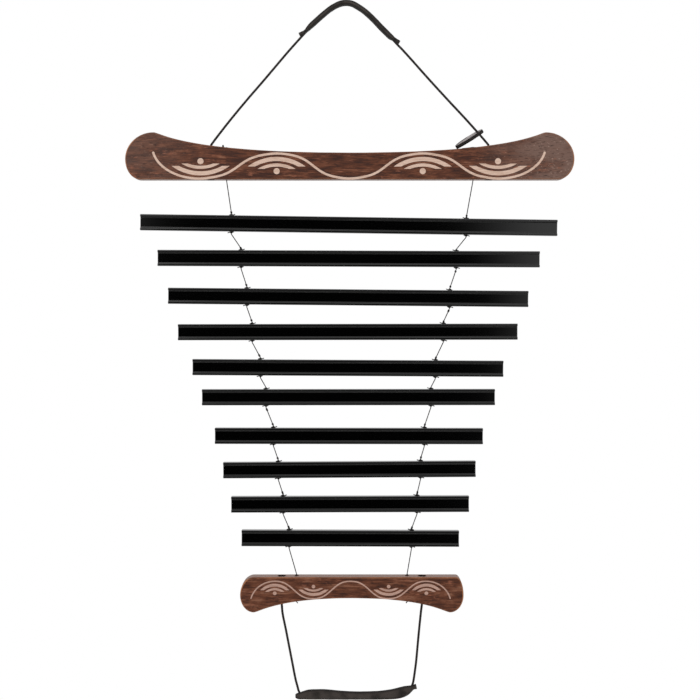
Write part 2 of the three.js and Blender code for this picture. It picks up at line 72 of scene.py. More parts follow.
# %% [markdown]
# ## Sizes shared by the pieces
#
# The boards are drawn on their flat edge, the bars on their middle. The bars' lengths come from the
# notes that they play: a bar's pitch goes with one over its length squared, so a step of one
# semitone shortens it by the 24th root of two. The CAD model was drawn from the same sizes, and a
# few roundings and thicknesses are refined here, after a closer look at the picture.

# %% Sizes of the boards
UPPER_BOARD = {
    "length": 600, "end_height": 62.5, "waist_height": 35.5, "tip_height": 26.8,
    "crown_reach": 38, "heel_reaches": (19.5, 21.5), "shoulder": 9.5, "waist_reach": 223.5,
    "cord_span": 372, "string_span": 331,
}
LOWER_BOARD = {
    "length": 302, "end_height": 48, "waist_height": 28.7, "tip_height": 24.8,
    "crown_reach": 18.3, "heel_reaches": (10, 18.5), "shoulder": 7.4, "waist_reach": 101.5,
    "cord_span": 190.4, "string_span": 150,
}
BOARD_THICKNESS = 20
COUNTERBORE_DIAMETER = 11
COUNTERBORE_DEPTH = 9
CORD_HOLE = 4.2
STRING_HOLE = 2.4
UPPER_FLAT = -231.9
LOWER_FLAT = -767
LOWER_SHIFT = 2.8


def waist_corners(board):
    """The four corners of the curve from a crown down to the waist."""
    crown = board["length"] / 2 - board["crown_reach"]
    return [
        Vector((crown, board["end_height"])),
        Vector((crown - board["shoulder"], board["end_height"])),
        Vector((board["waist_reach"], board["waist_height"])),
        Vector((0, board["waist_height"])),
    ]


def curve_point(corners, share):
    """A point of the curve with four corners, where share goes from 0 to 1."""
    while len(corners) > 1:
        corners = [a.lerp(b, share) for a, b in zip(corners, corners[1:])]
    return corners[0]


HALVINGS = 40


def edge_height(board, x):
    """How high the waisted edge is above the flat one, found by halving."""
    low, high = 0.0, 1.0
    corners = waist_corners(board)
    for _ in range(HALVINGS):
        middle = (low + high) / 2
        if curve_point(corners, middle).x > abs(x):
            low = middle
        else:
            high = middle
    return curve_point(corners, low).y


cord_edge = edge_height(UPPER_BOARD, UPPER_BOARD["cord_span"] / 2)
print("upper board's height at the cord:", round(cord_edge, 2))

# %% Sizes of the bars and where they hang
BAR_HEIGHT = 21.7
LONGEST_BAR = 560
SEMITONES = [0, 3, 5, 7, 10, 12, 15, 17, 19, 22]
# A short bar is thick for its length, which lowers its pitch, so it is cut a little shorter still.
SHORT_BAR_TRIM = 0.000016
STILL_POINT_SHARE = 0.218
FIRST_BAR_DROP = 60.6
BAR_SPACING = 47
SPACING_ERRORS = [-2, 5, -0.5, 1.5, -7.5, 5.5, -1.5, 0, -0.5]
BAR_SHIFTS = [-1.3, -1.5, -2.1, -2.7, -2.5, -1.8, -1.2, -0.5, 0.4, 0.7]
BAR_TILTS = [0.79, 0.22, 0.52, -0.1, 0.31, -0.05, 0.08, -0.33, -0.17, 0.18]


def bar_length(index):
    steps = SEMITONES[index]
    return LONGEST_BAR * 2 ** (-steps / 24) * (1 - SHORT_BAR_TRIM * steps * steps)


def hole_offset(index):
    return bar_length(index) * (0.5 - STILL_POINT_SHARE)


def bar_places():
    """Each bar's own axes: its middle, and its slight tilt in the plane of the chime."""
    height = UPPER_FLAT - FIRST_BAR_DROP
    places = []
    for index, (shift, tilt) in enumerate(zip(BAR_SHIFTS, BAR_TILTS)):
        if index > 0:
            height -= BAR_SPACING + SPACING_ERRORS[index - 1]
        middle = Matrix.Translation((shift, 0, height))
        places.append(middle @ Matrix.Rotation(math.radians(tilt), 4, "Y"))
    return places


BAR_PLACES = bar_places()
print("bar lengths in mm:", [round(bar_length(index), 1) for index in range(len(SEMITONES))])

# %% [markdown]
# ## Helpers for shapes
#
# A real maker has few ways of shaping these pieces: a section drawn out in length, a strand laid
# along a route, a hole drilled. The helpers follow that. Each one takes millimetres and returns a
# Blender object in metres.

# %% Turn points and faces into an object
SHARP_ANGLE = math.radians(38)
SIDES = (("left", -1), ("right", 1))


def new_object(name, data, material, place=Matrix.Identity(4)):
    """Links data to the scene. place is in millimetres."""
    piece = bpy.data.objects.new(name, data)
    data.materials.append(material)
    bpy.context.scene.collection.objects.link(piece)
    in_metres = place.copy()
    in_metres.translation = place.translation * MM
    piece.matrix_world = in_metres
    return piece


def mesh_piece(name, points, faces, material, place=Matrix.Identity(4)):
    mesh = bpy.data.meshes.new(name)
    mesh.from_pydata([Vector(point) * MM for point in points], [], faces)
    mesh.validate()
    mesh.shade_smooth()
    mesh.set_sharp_from_angle(angle=SHARP_ANGLE)
    return new_object(name, mesh, material, place)


def curve_piece(name, strands, radius, material, place=Matrix.Identity(4), resolution=3):
    """Round strands of one thickness, each a list of points that it runs through."""
    curve = bpy.data.curves.new(name, "CURVE")
    curve.dimensions = "3D"
    curve.bevel_depth = radius * MM
    curve.bevel_resolution = resolution
    curve.use_fill_caps = True
    for strand in strands:
        spline = curve.splines.new("POLY")
        spline.points.add(len(strand) - 1)
        for knot, point in zip(spline.points, strand):
            knot.co = (*(Vector(point) * MM), 1)
    return new_object(name, curve, material, place)


def attach(piece, body, slot, *nodes):
    """The piece moves with the body and stands for the CAD nodes, which are hidden. slot is not used."""
    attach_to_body(piece, body)
    if nodes:
        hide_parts(*nodes)
    return piece


# %% Strand routes and skins
def smooth_route(points, spacing):
    """Points about `spacing` apart on a smooth curve through the given ones."""
    points = [Vector(point) for point in points]
    run_in = points[0] * 2 - points[1]
    run_out = points[-1] * 2 - points[-2]
    around = [run_in, *points, run_out]
    route = []
    for before, here, there, after in zip(around, around[1:], around[2:], around[3:]):
        steps = max(1, round((there - here).length / spacing))
        for step in range(steps):
            t = step / steps
            bend = before * 2 - here * 5 + there * 4 - after
            twist = here * 3 - before - there * 3 + after
            route.append((here * 2 + (there - before) * t + bend * t**2 + twist * t**3) / 2)
    return [*route, points[-1]]


def route_length(route):
    return sum((b - a).length for a, b in zip(route, route[1:]))


def in_plane(points, z_shift=0, x_shift=0):
    """Points [x, z] of the chime's plane as points in space."""
    return [Vector((x + x_shift, 0, z + z_shift)) for x, z in points]


def across_from(ahead):
    """The direction at a right angle to `ahead` in the chime's plane."""
    return Vector((-ahead.z, 0, ahead.x))


def ring_faces(rings, sides, closed_along=False, caps=True):
    """Faces between rings of equal size that follow each other."""
    faces = []
    for ring in range(rings if closed_along else rings - 1):
        here = ring * sides
        there = ((ring + 1) % rings) * sides
        for side in range(sides):
            after = (side + 1) % sides
            faces.append((here + side, here + after, there + after, there + side))
    if caps and not closed_along:
        faces.append(tuple(reversed(range(sides))))
        faces.append(tuple(range((rings - 1) * sides, rings * sides)))
    return faces


print("a route through 3 points has", len(smooth_route([(0, 0, 0), (10, 0, 0), (20, 5, 0)], 1)), "points")

# %% [markdown]
# ## Helpers for finishes
#
# Colours are read off as sRGB hex values, the way a paint chart gives them, and Blender wants linear
# light, so one function turns them. One more adds a shader node with its settings and links. The
# others hold what the finishes share: a noise whose features have a real size, relief that follows
# patterns, and the surface itself. Lacquer, fibre and wood all have an IOR of about 1.5.

# %% Colours and shader nodes
def linear(hex_colour):
    """An sRGB colour such as "#5a3e34" as linear red, green, blue and alpha."""
    channels = [int(hex_colour[i:i + 2], 16) / 255 for i in (1, 3, 5)]
    return (*[c / 12.92 if c <= 0.04045 else ((c + 0.055) / 1.055) ** 2.4 for c in channels], 1)


def add_node(tree, kind, inputs=None, stops=None, **settings):
    """A shader node: its own settings, then its sockets, each a value or another node's output."""
    node = tree.nodes.new("ShaderNode" + kind)
    for name, value in settings.items():
        setattr(node, name, value)
    for name, value in (inputs or {}).items():
        if isinstance(value, bpy.types.NodeSocket):
            tree.links.new(value, node.inputs[name])
        else:
            node.inputs[name].default_value = value
    if stops:
        ramp = node.color_ramp
        while len(ramp.elements) < len(stops):
            ramp.elements.new(1)
        for element, (position, colour) in zip(ramp.elements, stops):
            element.position = position
            element.color = linear(colour)
    return node


def new_material(name):
    material = bpy.data.materials.new(name)
    material.use_nodes = True
    material.node_tree.nodes.clear()
    return material, material.node_tree


print("mid grey is", round(linear("#808080")[0], 3), "in linear light")

# %% Patterns, relief and surface
IOR = 1.5


def noise_pattern(tree, size, detail, roughness=0.5, distortion=0.0, shift=0.0):
    """Noise with features of this size in millimetres along x, y and z of the piece's own mesh."""
    place = add_node(tree, "TexCoord")
    scaled = add_node(tree, "Mapping", {
        "Vector": place.outputs["Object"], "Location": (shift, shift, shift),
        "Scale": tuple(1 / (length * MM) for length in size),
    })
    pattern = add_node(tree, "TexNoise", {
        "Vector": scaled.outputs[0], "Scale": 1.0, "Detail": detail, "Roughness": roughness,
        "Distortion": distortion,
    })
    return pattern.outputs["Fac"]


def relief(tree, *layers):
    """Bumps laid over each other, each a pattern, its strength and its depth in millimetres."""
    under = {}
    for pattern, strength, depth in layers:
        bump = add_node(tree, "Bump", {
            "Height": pattern, "Strength": strength, "Distance": depth * MM, **under,
        })
        under = {"Normal": bump.outputs[0]}
    return bump.outputs[0]


def surface(tree, inputs):
    """Ends a material in its shader, given the inputs that make it more than a plain dielectric."""
    shader = add_node(tree, "BsdfPrincipled", {"IOR": IOR, **inputs})
    add_node(tree, "OutputMaterial", {"Surface": shader.outputs[0]})


print("every surface has an IOR of", IOR)

# %% [markdown]
# ## Lacquered aluminium
#
# The bars are drawn aluminium, coated in gloss black lacquer. Lacquer is a dielectric, so it shows
# its own deep black and on top of it a clear white reflection of about four parts in a hundred. The
# drawing die leaves faint lines along the bar, which stretch that reflection a little.

# %% Material: lacquered aluminium
def lacquered_aluminium():
    material, tree = new_material("lacquered_aluminium")
    die_lines = noise_pattern(tree, (180, 0.9, 0.9), 3.0, 0.6)
    gloss = add_node(tree, "MapRange", {"Value": die_lines, "To Min": 0.05, "To Max": 0.1})
    surface(tree, {
        "Base Color": linear("#020202"), "Roughness": gloss.outputs[0],
        "Normal": relief(tree, (die_lines, 0.12, 0.02)),
    })
    return material


LACQUERED_ALUMINIUM = lacquered_aluminium()
print("made", LACQUERED_ALUMINIUM.name)

# %% [markdown]
# ## Polyester cord and string
#
# The two loops hang on a braided polyester cord, and the bars on a thinner waxed string of the same
# fibre. Dyed polyester is matt from afar, and its filaments catch a soft sheen along their length.
# The filaments are far too fine to show, so the speckle is drawn half a millimetre wide.

# %% Material: dyed polyester
def dyed_polyester(name, colour, worn_colour, strand_size):
    material, tree = new_material(name)
    filaments = noise_pattern(tree, (strand_size, strand_size, strand_size), 4.0)
    tone = add_node(tree, "ValToRGB", {"Fac": filaments}, stops=[(0.35, colour), (0.7, worn_colour)])
    surface(tree, {
        "Base Color": tone.outputs[0], "Roughness": 0.72, "Specular IOR Level": 0.25,
        "Sheen Weight": 0.06, "Sheen Roughness": 0.4, "Normal": relief(tree, (filaments, 0.6, 0.1)),
    })
    return material


CORD_POLYESTER = dyed_polyester("cord_polyester", "#0b0807", "#231b18", 0.5)
STRING_POLYESTER = dyed_polyester("string_polyester", "#0d0b0a", "#221f1d", 0.35)
print("made", CORD_POLYESTER.name, "and", STRING_POLYESTER.name)

# %% [markdown]
# ## The hanging cord
#
# One braided cord, 3.2 mm thick, is knotted inside the upper board, runs up through the grip, over
# the hook and down to the other end of the board. It carries the whole chime, so it hangs in nearly
# straight runs. A bare curve would look like wire: the mesh below has the braid's crossing strands
# in its surface.

# %% Braided cord
CORD_DIAMETER = 3.2
BRAID_STRANDS = 4
BRAID_PITCH = 3.4
BRAID_RELIEF = 0.16
CORD_SIDES = 24
CORD_RING_SPACING = 0.42
# The rings of a rounded end: their share of the radius, and how many radii they stand out.
CORD_END_RINGS = [(0.25, 0.95), (0.7, 0.7)]


def braid_ring(centre, ahead, along, radius):
    """One ring of a braided cord in the chime's plane, `along` millimetres from its start."""
    across = across_from(ahead)
    points = []
    for side in range(CORD_SIDES):
        turn = math.tau * side / CORD_SIDES
        lay = math.tau * along / BRAID_PITCH
        crossing = math.cos(BRAID_STRANDS * turn + lay) * math.cos(BRAID_STRANDS * turn - lay)
        reach = radius - BRAID_RELIEF * (0.5 - 0.5 * crossing) * min(1, radius)
        points.append(centre + (across * math.cos(turn) + Vector((0, math.sin(turn), 0))) * reach)
    return points


def braided_cord(name, route):
    """A cord along a route in the chime's plane, with its ends rounded about the route's ends."""
    radius = CORD_DIAMETER / 2
    first_way = (route[1] - route[0]).normalized()
    last_way = (route[-1] - route[-2]).normalized()
    rings = []
    for share, back in CORD_END_RINGS:
        rings.append(braid_ring(route[0] - first_way * radius * back, first_way, 0, radius * share))
    along = 0
    for index, centre in enumerate(route):
        before = route[max(index - 1, 0)]
        after = route[min(index + 1, len(route) - 1)]
        along += (centre - before).length
        rings.append(braid_ring(centre, (after - before).normalized(), along, radius))
    for share, back in reversed(CORD_END_RINGS):
        rings.append(braid_ring(route[-1] + last_way * radius * back, last_way, along, radius * share))
    points = [point for ring in rings for point in ring]
    return mesh_piece(name, points, ring_faces(len(rings), CORD_SIDES), CORD_POLYESTER)


def declare_cord(piece, route, diameter, lay, **path):
    """The length of the route, from its start to its end. The piece is not used."""
    length = route_length(route)
    return length


def loop_cord(name, route, body, lay, *nodes):
    cord = attach(braided_cord(name, route), body, "cord", *nodes)
    length = declare_cord(cord, route, CORD_DIAMETER, lay, path=[point * MM for point in route])
    print(name, "is", round(length, 1), "mm long")


print("the braid has", 2 * BRAID_STRANDS, "strands, each", BRAID_PITCH, "mm to a turn")


# %% Routes of the two loops
CORD_PIVOT_LIFT = 1.8
HANGING_CORD_LEFT = [
    (-178.3, -174.8), (-160.3, -152), (-137.9, -125.2), (-114.8, -98.7), (-92, -72), (-80.6, -58.8),
    (-65.5, -42.1),
]
HANGING_CORD_IN_GRIP = [
    (-58.5, -34.7), (-52.2, -27.9), (-45.6, -21.7), (-36.6, -13.8), (-27.8, -6.5), (-20, -1.7),
    (-12.5, 1.7), (-5, 2.9), (2.8, 1.7), (10.5, -2.2), (18, -7.1), (26, -13.8), (34.2, -21.8),
    (42.2, -30.2), (49.2, -37), (57.2, -44.6),
]
HANGING_CORD_RIGHT = [
    (64.1, -51.9), (70.9, -58.8), (83, -72), (107, -98.7), (131.5, -125.2), (156.7, -152),
    (178, -175.7),
]
LOWER_CORD_LEFT = [
    (-94, -52), (-89.6, -74), (-85.4, -96), (-81.2, -118), (-77, -140), (-74.2, -151),
    (-72.2, -158.2),
]
LOWER_CORD_IN_GRIP = [
    (-69.2, -162), (-64, -163.6), (-57, -163.2), (-48, -162.9), (-36, -162.9), (-23, -163.4),
    (-9, -164), (4, -164.3), (17.6, -164.3), (31, -164), (42.4, -163.5), (52, -162.9), (60, -162),
    (67.6, -160.2), (74.4, -157.4), (79.8, -153.4),
]
LOWER_CORD_RIGHT = [
    (82.9, -148), (84.8, -138), (87.4, -118), (89.4, -96), (91.4, -74), (93.6, -52),
]

upper_pivot_height = UPPER_FLAT + edge_height(UPPER_BOARD, UPPER_BOARD["cord_span"] / 2) + CORD_PIVOT_LIFT
upper_pivots = [(side * UPPER_BOARD["cord_span"] / 2, upper_pivot_height) for side in (-1, 1)]
lower_pivot_height = -edge_height(LOWER_BOARD, LOWER_BOARD["cord_span"] / 2) - CORD_PIVOT_LIFT
lower_pivots = [(side * LOWER_BOARD["cord_span"] / 2, lower_pivot_height) for side in (-1, 1)]

hanging_route = smooth_route(in_plane([
    upper_pivots[0], *HANGING_CORD_LEFT, *HANGING_CORD_IN_GRIP, *HANGING_CORD_RIGHT, upper_pivots[1],
]), CORD_RING_SPACING)
handle_route = smooth_route(in_plane([
    lower_pivots[0], *LOWER_CORD_LEFT, *LOWER_CORD_IN_GRIP, *LOWER_CORD_RIGHT, lower_pivots[1],
], LOWER_FLAT, LOWER_SHIFT), CORD_RING_SPACING)

loop_cord("hanging_cord", hanging_route, "hanger", "taut", "hanging_cord_left", "hanging_cord_right")
loop_cord("handle_cord", handle_route, "lower_handle", "hanging", "lower_cord_left", "lower_cord_right")

# %% [markdown]
# ## The cords' knots
#
# Each end of a cord is held by an overhand knot, pulled up into a counterbore in the board's flat
# edge. The knots of the lower board sit just inside its top, where the photograph shows the two
# dark holes. An overhand knot's line is a trefoil, opened where the two ends leave it.

# %% Overhand knots in the counterbores
CORD_KNOT_WIDTH = 8.2
CORD_KNOT_HEIGHT = 5.6
CORD_TAIL = 2.6
KNOT_ROOF_GAP = 0.3
# A knot pulled tight squeezes its cord a little.
KNOT_CORD_RADIUS = CORD_DIAMETER / 2 * 0.98
TREFOIL_REACH = 3
TREFOIL_OPENING = 0.06
TREFOIL_SWING = 0.36
KNOT_STEPS = 60
KNOT_STRIDE = 4
KNOT_SPACING = 0.5


def overhand_knot(top, way):
    """The line of a knot below `top` along z, with its tail; way is -1 downwards and 1 upwards."""
    scale = (CORD_KNOT_WIDTH - CORD_DIAMETER) / (2 * TREFOIL_REACH)
    rise = CORD_KNOT_HEIGHT - CORD_DIAMETER
    points = []
    for step in range(KNOT_STEPS + 1):
        t = math.tau * (TREFOIL_OPENING + (1 - 2 * TREFOIL_OPENING) * step / KNOT_STEPS)
        x = math.sin(t) + 2 * math.sin(2 * t)
        y = math.cos(t) - 2 * math.cos(2 * t)
        height = rise * (0.5 - TREFOIL_SWING * math.sin(3 * t)) + CORD_DIAMETER / 2
        points.append(Vector((x * scale, y * scale, top + way * height)))
    return points


def knotted_end(x, pivot_height, flat, way):
    """A cord's end inside a board: from the pivot, through its hole, into the knot and its tail."""
    mouth = pivot_height + way * CORD_PIVOT_LIFT
    top = flat - way * (COUNTERBORE_DEPTH - KNOT_ROOF_GAP)
    run_in = [Vector((x, 0, height)) for height in (pivot_height, (mouth + top) / 2, top)]
    knot = [point + Vector((x, 0, 0)) for point in overhand_knot(top, way)]
    tail = Vector((x, 0, top + way * (CORD_KNOT_HEIGHT + CORD_TAIL)))
    return smooth_route([*run_in, *knot[::KNOT_STRIDE], tail], KNOT_SPACING)


for name, side in SIDES:
    for level, board, shift, pivot_height, flat, way, body, node in (
        ("upper", UPPER_BOARD, 0, upper_pivot_height, UPPER_FLAT, -1, "top_board", "hanging_knot"),
        ("lower", LOWER_BOARD, LOWER_SHIFT, LOWER_FLAT + lower_pivot_height, LOWER_FLAT, 1,
         "bottom_board", "lower_knot"),
    ):
        line = knotted_end(shift + side * board["cord_span"] / 2, pivot_height, flat, way)
        knot = curve_piece(f"cord_knot_{level}_{name}", [line], KNOT_CORD_RADIUS, CORD_POLYESTER)
        attach(knot, body, "cord", f"{node}_{name}")
print("four overhand knots, each", CORD_KNOT_WIDTH, "mm wide")

# %% [markdown]
# ## The strings
#
# Two long strings carry the bars. Each string runs through a bar near one of the two still points of
# its ringing, and a knot above and below holds the bar in place. The string bends at those knots,
# so it is modelled as one stretch to each bar, which moves with that bar.

# %% One stretch of string
STRING_DIAMETER = 1.3
STRING_RADIUS = STRING_DIAMETER / 2
KNOT_GAP = 0.3
KNOT_HEIGHT = 1.9
STRING_SPACING = 3
STRING_STRAIGHT = 2

knot_foot = BAR_HEIGHT / 2 + KNOT_GAP
string_pivot_drop = knot_foot + KNOT_HEIGHT + KNOT_GAP + STRING_RADIUS


def string_piece(name, points, body):
    """A stretch of string through the given points; returns its length."""
    line = [points[0]]
    for start, end in zip(points, points[1:]):
        steps = max(1, round((end - start).length / STRING_SPACING))
        line += [start.lerp(end, step / steps) for step in range(1, steps + 1)]
    piece = curve_piece(f"waxed_{name}", [line], STRING_RADIUS, STRING_POLYESTER)
    attach(piece, body, "string", name)
    return declare_cord(piece, line, STRING_DIAMETER, "taut")


print("below a bar the string swings", round(string_pivot_drop, 2), "mm from the bar's middle")

# %% Lay the two strings
upper_string_height = UPPER_FLAT + edge_height(UPPER_BOARD, UPPER_BOARD["string_span"] / 2)
lower_string_height = LOWER_FLAT - edge_height(LOWER_BOARD, LOWER_BOARD["string_span"] / 2)
string_totals = {}
string_pivots = {}
for name, side in SIDES:
    x = side * UPPER_BOARD["string_span"] / 2
    pivot = Vector((x, 0, UPPER_FLAT - STRING_RADIUS))
    anchor_top = Vector((x, 0, upper_string_height + STRING_DIAMETER))
    total = string_piece(f"anchor_string_{name}", [anchor_top, pivot], "top_board")
    for index, place in enumerate(BAR_PLACES):
        number = f"{index + 1:02d}"
        x = side * hole_offset(index)
        heights = (knot_foot + STRING_STRAIGHT, knot_foot, -string_pivot_drop)
        points = [pivot, *[place @ Vector((x, 0, height)) for height in heights]]
        total += string_piece(f"string_{number}_{name}", points, f"bar_{number}")
        string_pivots[name, index] = pivot
        pivot = points[-1]
    x = LOWER_SHIFT + side * LOWER_BOARD["string_span"] / 2
    ends = (LOWER_FLAT + KNOT_GAP + KNOT_HEIGHT, lower_string_height - KNOT_GAP - KNOT_HEIGHT)
    points = [pivot, *[Vector((x, 0, height)) for height in ends]]
    total += string_piece(f"string_11_{name}", points, "bottom_board")
    string_totals[name] = round(total)
print("the two strings between their end knots, in mm:", string_totals)

# %% [markdown]
# ## Knots on the bars
#
# Above and below each bar the string is tied in a flat knot: a loop lies on the bar, and a trimmed
# tail stands off it towards the chime's middle. Most bars also have a small wrapped knot above
# that, a tight coil round the string. They are too small for a simulation to pay, so each flat knot
# is a strand laid through a few given points and smoothed.

# %% Shapes of the string's knots
# Points are (outwards, depth, away from the bar).
FLAT_KNOT = [
    (-4.9, 0.3, 1.7), (-3.9, 0.3, 1.3), (-2.6, 0.2, 0.9), (-0.9, 0.6, 0.6), (0.9, 0.9, 0.5),
    (2.2, 0.7, 0.5), (2.9, 0, 0.5), (2.2, -0.7, 0.5), (0.9, -0.9, 0.5), (-0.9, -0.8, 0.6),
    (-2, 0, 0.7), (-1.2, 0.8, 1), (0.4, 0.8, 1.2), (1.4, 0, 1.3), (0.6, -0.8, 1.4), (-0.6, -0.5, 1.6),
    (-0.5, 0.5, 1.8), (0.4, 0.4, 2), (0, 0, 2.4),
]
STRING_KNOT_SPACING = 0.4
WRAP_TURNS = 3.5
WRAP_RADIUS = 0.72
WRAP_STEPS = 12


def flat_knot(x, face, side, way):
    """A knot lying on a face at height `face`, on the side that `way` points to."""
    outwards = side * way
    return smooth_route([
        Vector((x + outwards * out, depth, face + way * off)) for out, depth, off in FLAT_KNOT
    ], STRING_KNOT_SPACING)


def wrapped_knot(foot, way, height):
    """A few close turns round a string that runs from `foot` along `way`."""
    turn_axes = Vector((0, 0, 1)).rotation_difference(way)
    count = round(WRAP_TURNS * WRAP_STEPS)
    points = []
    for step in range(count + 1):
        turn = math.tau * step / WRAP_STEPS
        rise = STRING_RADIUS + (height - STRING_DIAMETER) * step / count
        around = Vector((WRAP_RADIUS * math.cos(turn), WRAP_RADIUS * math.sin(turn), rise))
        points.append(foot + turn_axes @ around)
    return points


print("a wrapped knot has", WRAP_TURNS, "turns")

# %% Tie the knots on the bars
# For each bar that has a wrapped knot above it: the height of its foot over the bar, and its own.
WRAPPED_ABOVE = {
    "left": {
        1: (2.5, 3.3), 2: (1.2, 3.6), 3: (3.2, 3.3), 4: (3.5, 3.3), 5: (3.7, 3.9), 7: (3.1, 3.3),
        8: (3.1, 3.4), 9: (2.5, 4.5), 10: (1.6, 4.4),
    },
    "right": {
        1: (2.5, 2.9), 3: (3.5, 2.9), 4: (1.6, 2.9), 5: (1.9, 3.4), 7: (2.8, 3.3), 8: (3.1, 3.4),
        9: (1.3, 5), 10: (0.8, 4.6),
    },
}
WRAPPED_BELOW = {"left": {6: 4}, "right": {2: 2.8, 3: 4}}
WRAPPED_BELOW_FOOT = 1.3

for name, side in SIDES:
    for index, place in enumerate(BAR_PLACES):
        number = index + 1
        x = side * hole_offset(index)
        strands = [flat_knot(x, way * BAR_HEIGHT / 2, side, way) for way in (1, -1)]
        if number in WRAPPED_ABOVE[name]:
            above, height = WRAPPED_ABOVE[name][number]
            start = Vector((x, 0, knot_foot + STRING_STRAIGHT))
            way = (place.inverted() @ string_pivots[name, index] - start).normalized()
            strands.append(wrapped_knot(start + way * (above - KNOT_GAP - STRING_STRAIGHT), way, height))
        knots = curve_piece(
            f"bar_knots_{number:02d}_{name}", strands, STRING_RADIUS, STRING_POLYESTER, place,
        )
        attach(knots, f"bar_{number:02d}", "string")
    for number, height in WRAPPED_BELOW[name].items():
        here = number - 1
        start = BAR_PLACES[here] @ Vector((side * hole_offset(here), 0, -string_pivot_drop))
        end = BAR_PLACES[number] @ Vector((side * hole_offset(number), 0, knot_foot + STRING_STRAIGHT))
        way = (end - start).normalized()
        strand = wrapped_knot(start + way * WRAPPED_BELOW_FOOT, way, height)
        low_knot = curve_piece(f"low_bead_{number:02d}_{name}", [strand], STRING_RADIUS, STRING_POLYESTER)
        attach(low_knot, f"bar_{number + 1:02d}", "string")
print("wrapped knots:", {name: sorted(knots) for name, knots in WRAPPED_ABOVE.items()})

# %% Knots on the boards
# Points are (towards the chime's right or outwards, depth, away from the board).
LEFT_ANCHOR = [
    (0, 0, -1), (-0.3, 0.2, 0.4), (-1.8, 0.6, 0.4), (-3.4, 0.7, 0.5), (-4.5, 0.8, 0.5), (-5.3, 0, 0.6),
    (-4.5, -0.8, 0.8), (-3.7, 0, 1), (-4.5, 0.8, 1.3), (-5.3, 0, 1.6), (-4.5, -0.8, 1.9),
    (-3.7, 0, 2.2), (-4.5, 0.8, 2.5), (-5.2, 0, 2.8), (-4.5, -0.6, 3), (-4.3, 0, 3.4),
]
RIGHT_ANCHOR = [
    (0, 0, -1), (0.3, 0.3, 0.6), (1.4, 0.8, 0.6), (2.2, 0, 0.6), (1.3, -0.8, 0.6), (-0.4, -0.8, 0.9),
    (-2, -1.2, 0.9), (-5, -1.6, 0.7), (-9, -1.9, 0.6), (-15, -2.2, 0.5),
]
ENTRY_KNOT = [
    (-2.4, 0.5, 0.5), (-1.2, 0.9, 0.5), (0.8, 0.8, 0.5), (1.7, 0, 0.5), (0.8, -0.8, 0.6),
    (-0.6, -0.7, 0.9), (-0.8, 0.3, 1.2), (0.2, 0.7, 1.5), (0.6, 0, 1.8), (0, 0, 2.2),
]
TAIL_STUB = [
    (0, 0, -1), (0.4, 0.5, 0.5), (1, 0, 0.6), (0.3, -0.7, 0.7), (-0.6, -0.2, 1), (0, 0.6, 1.3),
    (0.5, 0, 1.8), (-0.6, 0, 3), (-1.4, 0, 4.4),
]


def knot_on_board(name, points, x, surface_at, way, side, body):
    """A knot whose points follow a board's edge; surface_at(x) gives the edge's height."""
    line = [
        Vector((x + side * out, depth, surface_at(x + side * out) + way * off))
        for out, depth, off in points
    ]
    strand = smooth_route(line, STRING_KNOT_SPACING)
    return attach(curve_piece(name, [strand], STRING_RADIUS, STRING_POLYESTER), body, "string")


def upper_top(x):
    return UPPER_FLAT + edge_height(UPPER_BOARD, x)


def lower_top(_):
    return LOWER_FLAT


def lower_underside(x):
    return LOWER_FLAT - edge_height(LOWER_BOARD, x - LOWER_SHIFT)


half_span = UPPER_BOARD["string_span"] / 2
knot_on_board("anchor_knot_left", LEFT_ANCHOR, -half_span, upper_top, 1, 1, "top_board")
knot_on_board("anchor_knot_right", RIGHT_ANCHOR, half_span, upper_top, 1, 1, "top_board")
for name, side in SIDES:
    x = LOWER_SHIFT + side * LOWER_BOARD["string_span"] / 2
    knot_on_board(f"entry_knot_{name}", ENTRY_KNOT, x, lower_top, 1, side, "bottom_board")
    knot_on_board(f"tail_stub_{name}", TAIL_STUB, x, lower_underside, -1, side, "bottom_board")
print("knots on the boards: 2 anchors, 2 entries and 2 tails")

# %% [markdown]
# ## Stained wood
#
# The boards are a coarse hardwood, stained red-brown and rubbed back. Stain sinks deep into the soft
# early wood and hardly into the hard late wood, so the grain runs from near black to tan. The grain
# is noise stretched 14 to 1 along the board, with short pores and rusty streaks over it. The upper
# board's ends have lost most of their stain and look grey. The flat edge is painted grey-mauve, a
# painted sheen for the white light that it catches at a grazing angle. The rounded edges are rubbed
# to copper. A thin oil finish reflects little, so the specular level is low. The walls of the holes
# are painted nearly black, painted shade for the little light that reaches into them.

# %% Colours and patterns of the wood
WOOD_TONES = [
    (0.39, "#32150a"), (0.45, "#442110"), (0.5, "#532b18"), (0.56, "#663a25"), (0.64, "#815742"),
]
FADED_WOOD = "#6b5248"
PAINTED_SHEEN_GREY = "#8a726a"
RUSTY_STREAK = "#8c5640"
COPPER_RIM = "#9c6643"
PALE_FLECK = "#ab9183"
FILLED_PORE = "#241109"
# Size along x, y and z, detail, roughness, distortion and shift of each pattern.
WOOD_PATTERNS = {
    "fine_grain": ((26, 1.9, 1.9), 5.0, 0.62, 0.4, 0.0),
    "blotches": ((30, 9, 9), 4.0, 0.6, 0.0, 1.3),
    "patches": ((34, 14, 14), 3.0, 0.5, 0.0, 4.1),
    "streaks": ((11, 2.1, 2.1), 4.0, 0.6, 0.0, 7.3),
    "pores": ((8, 0.9, 0.9), 2.0, 0.5, 0.0, 2.9),
    "flecks": ((3.2, 1.6, 1.6), 2.0, 0.5, 0.0, 5.7),
}


def soft_mask(tree, value, low, high, strength=1.0):
    """Zero below `low` and `strength` above `high`, or the other way round where low is higher."""
    return add_node(tree, "MapRange", {
        "Value": value, "From Min": low, "From Max": high, "To Max": strength,
    }, interpolation_type="SMOOTHSTEP").outputs[0]


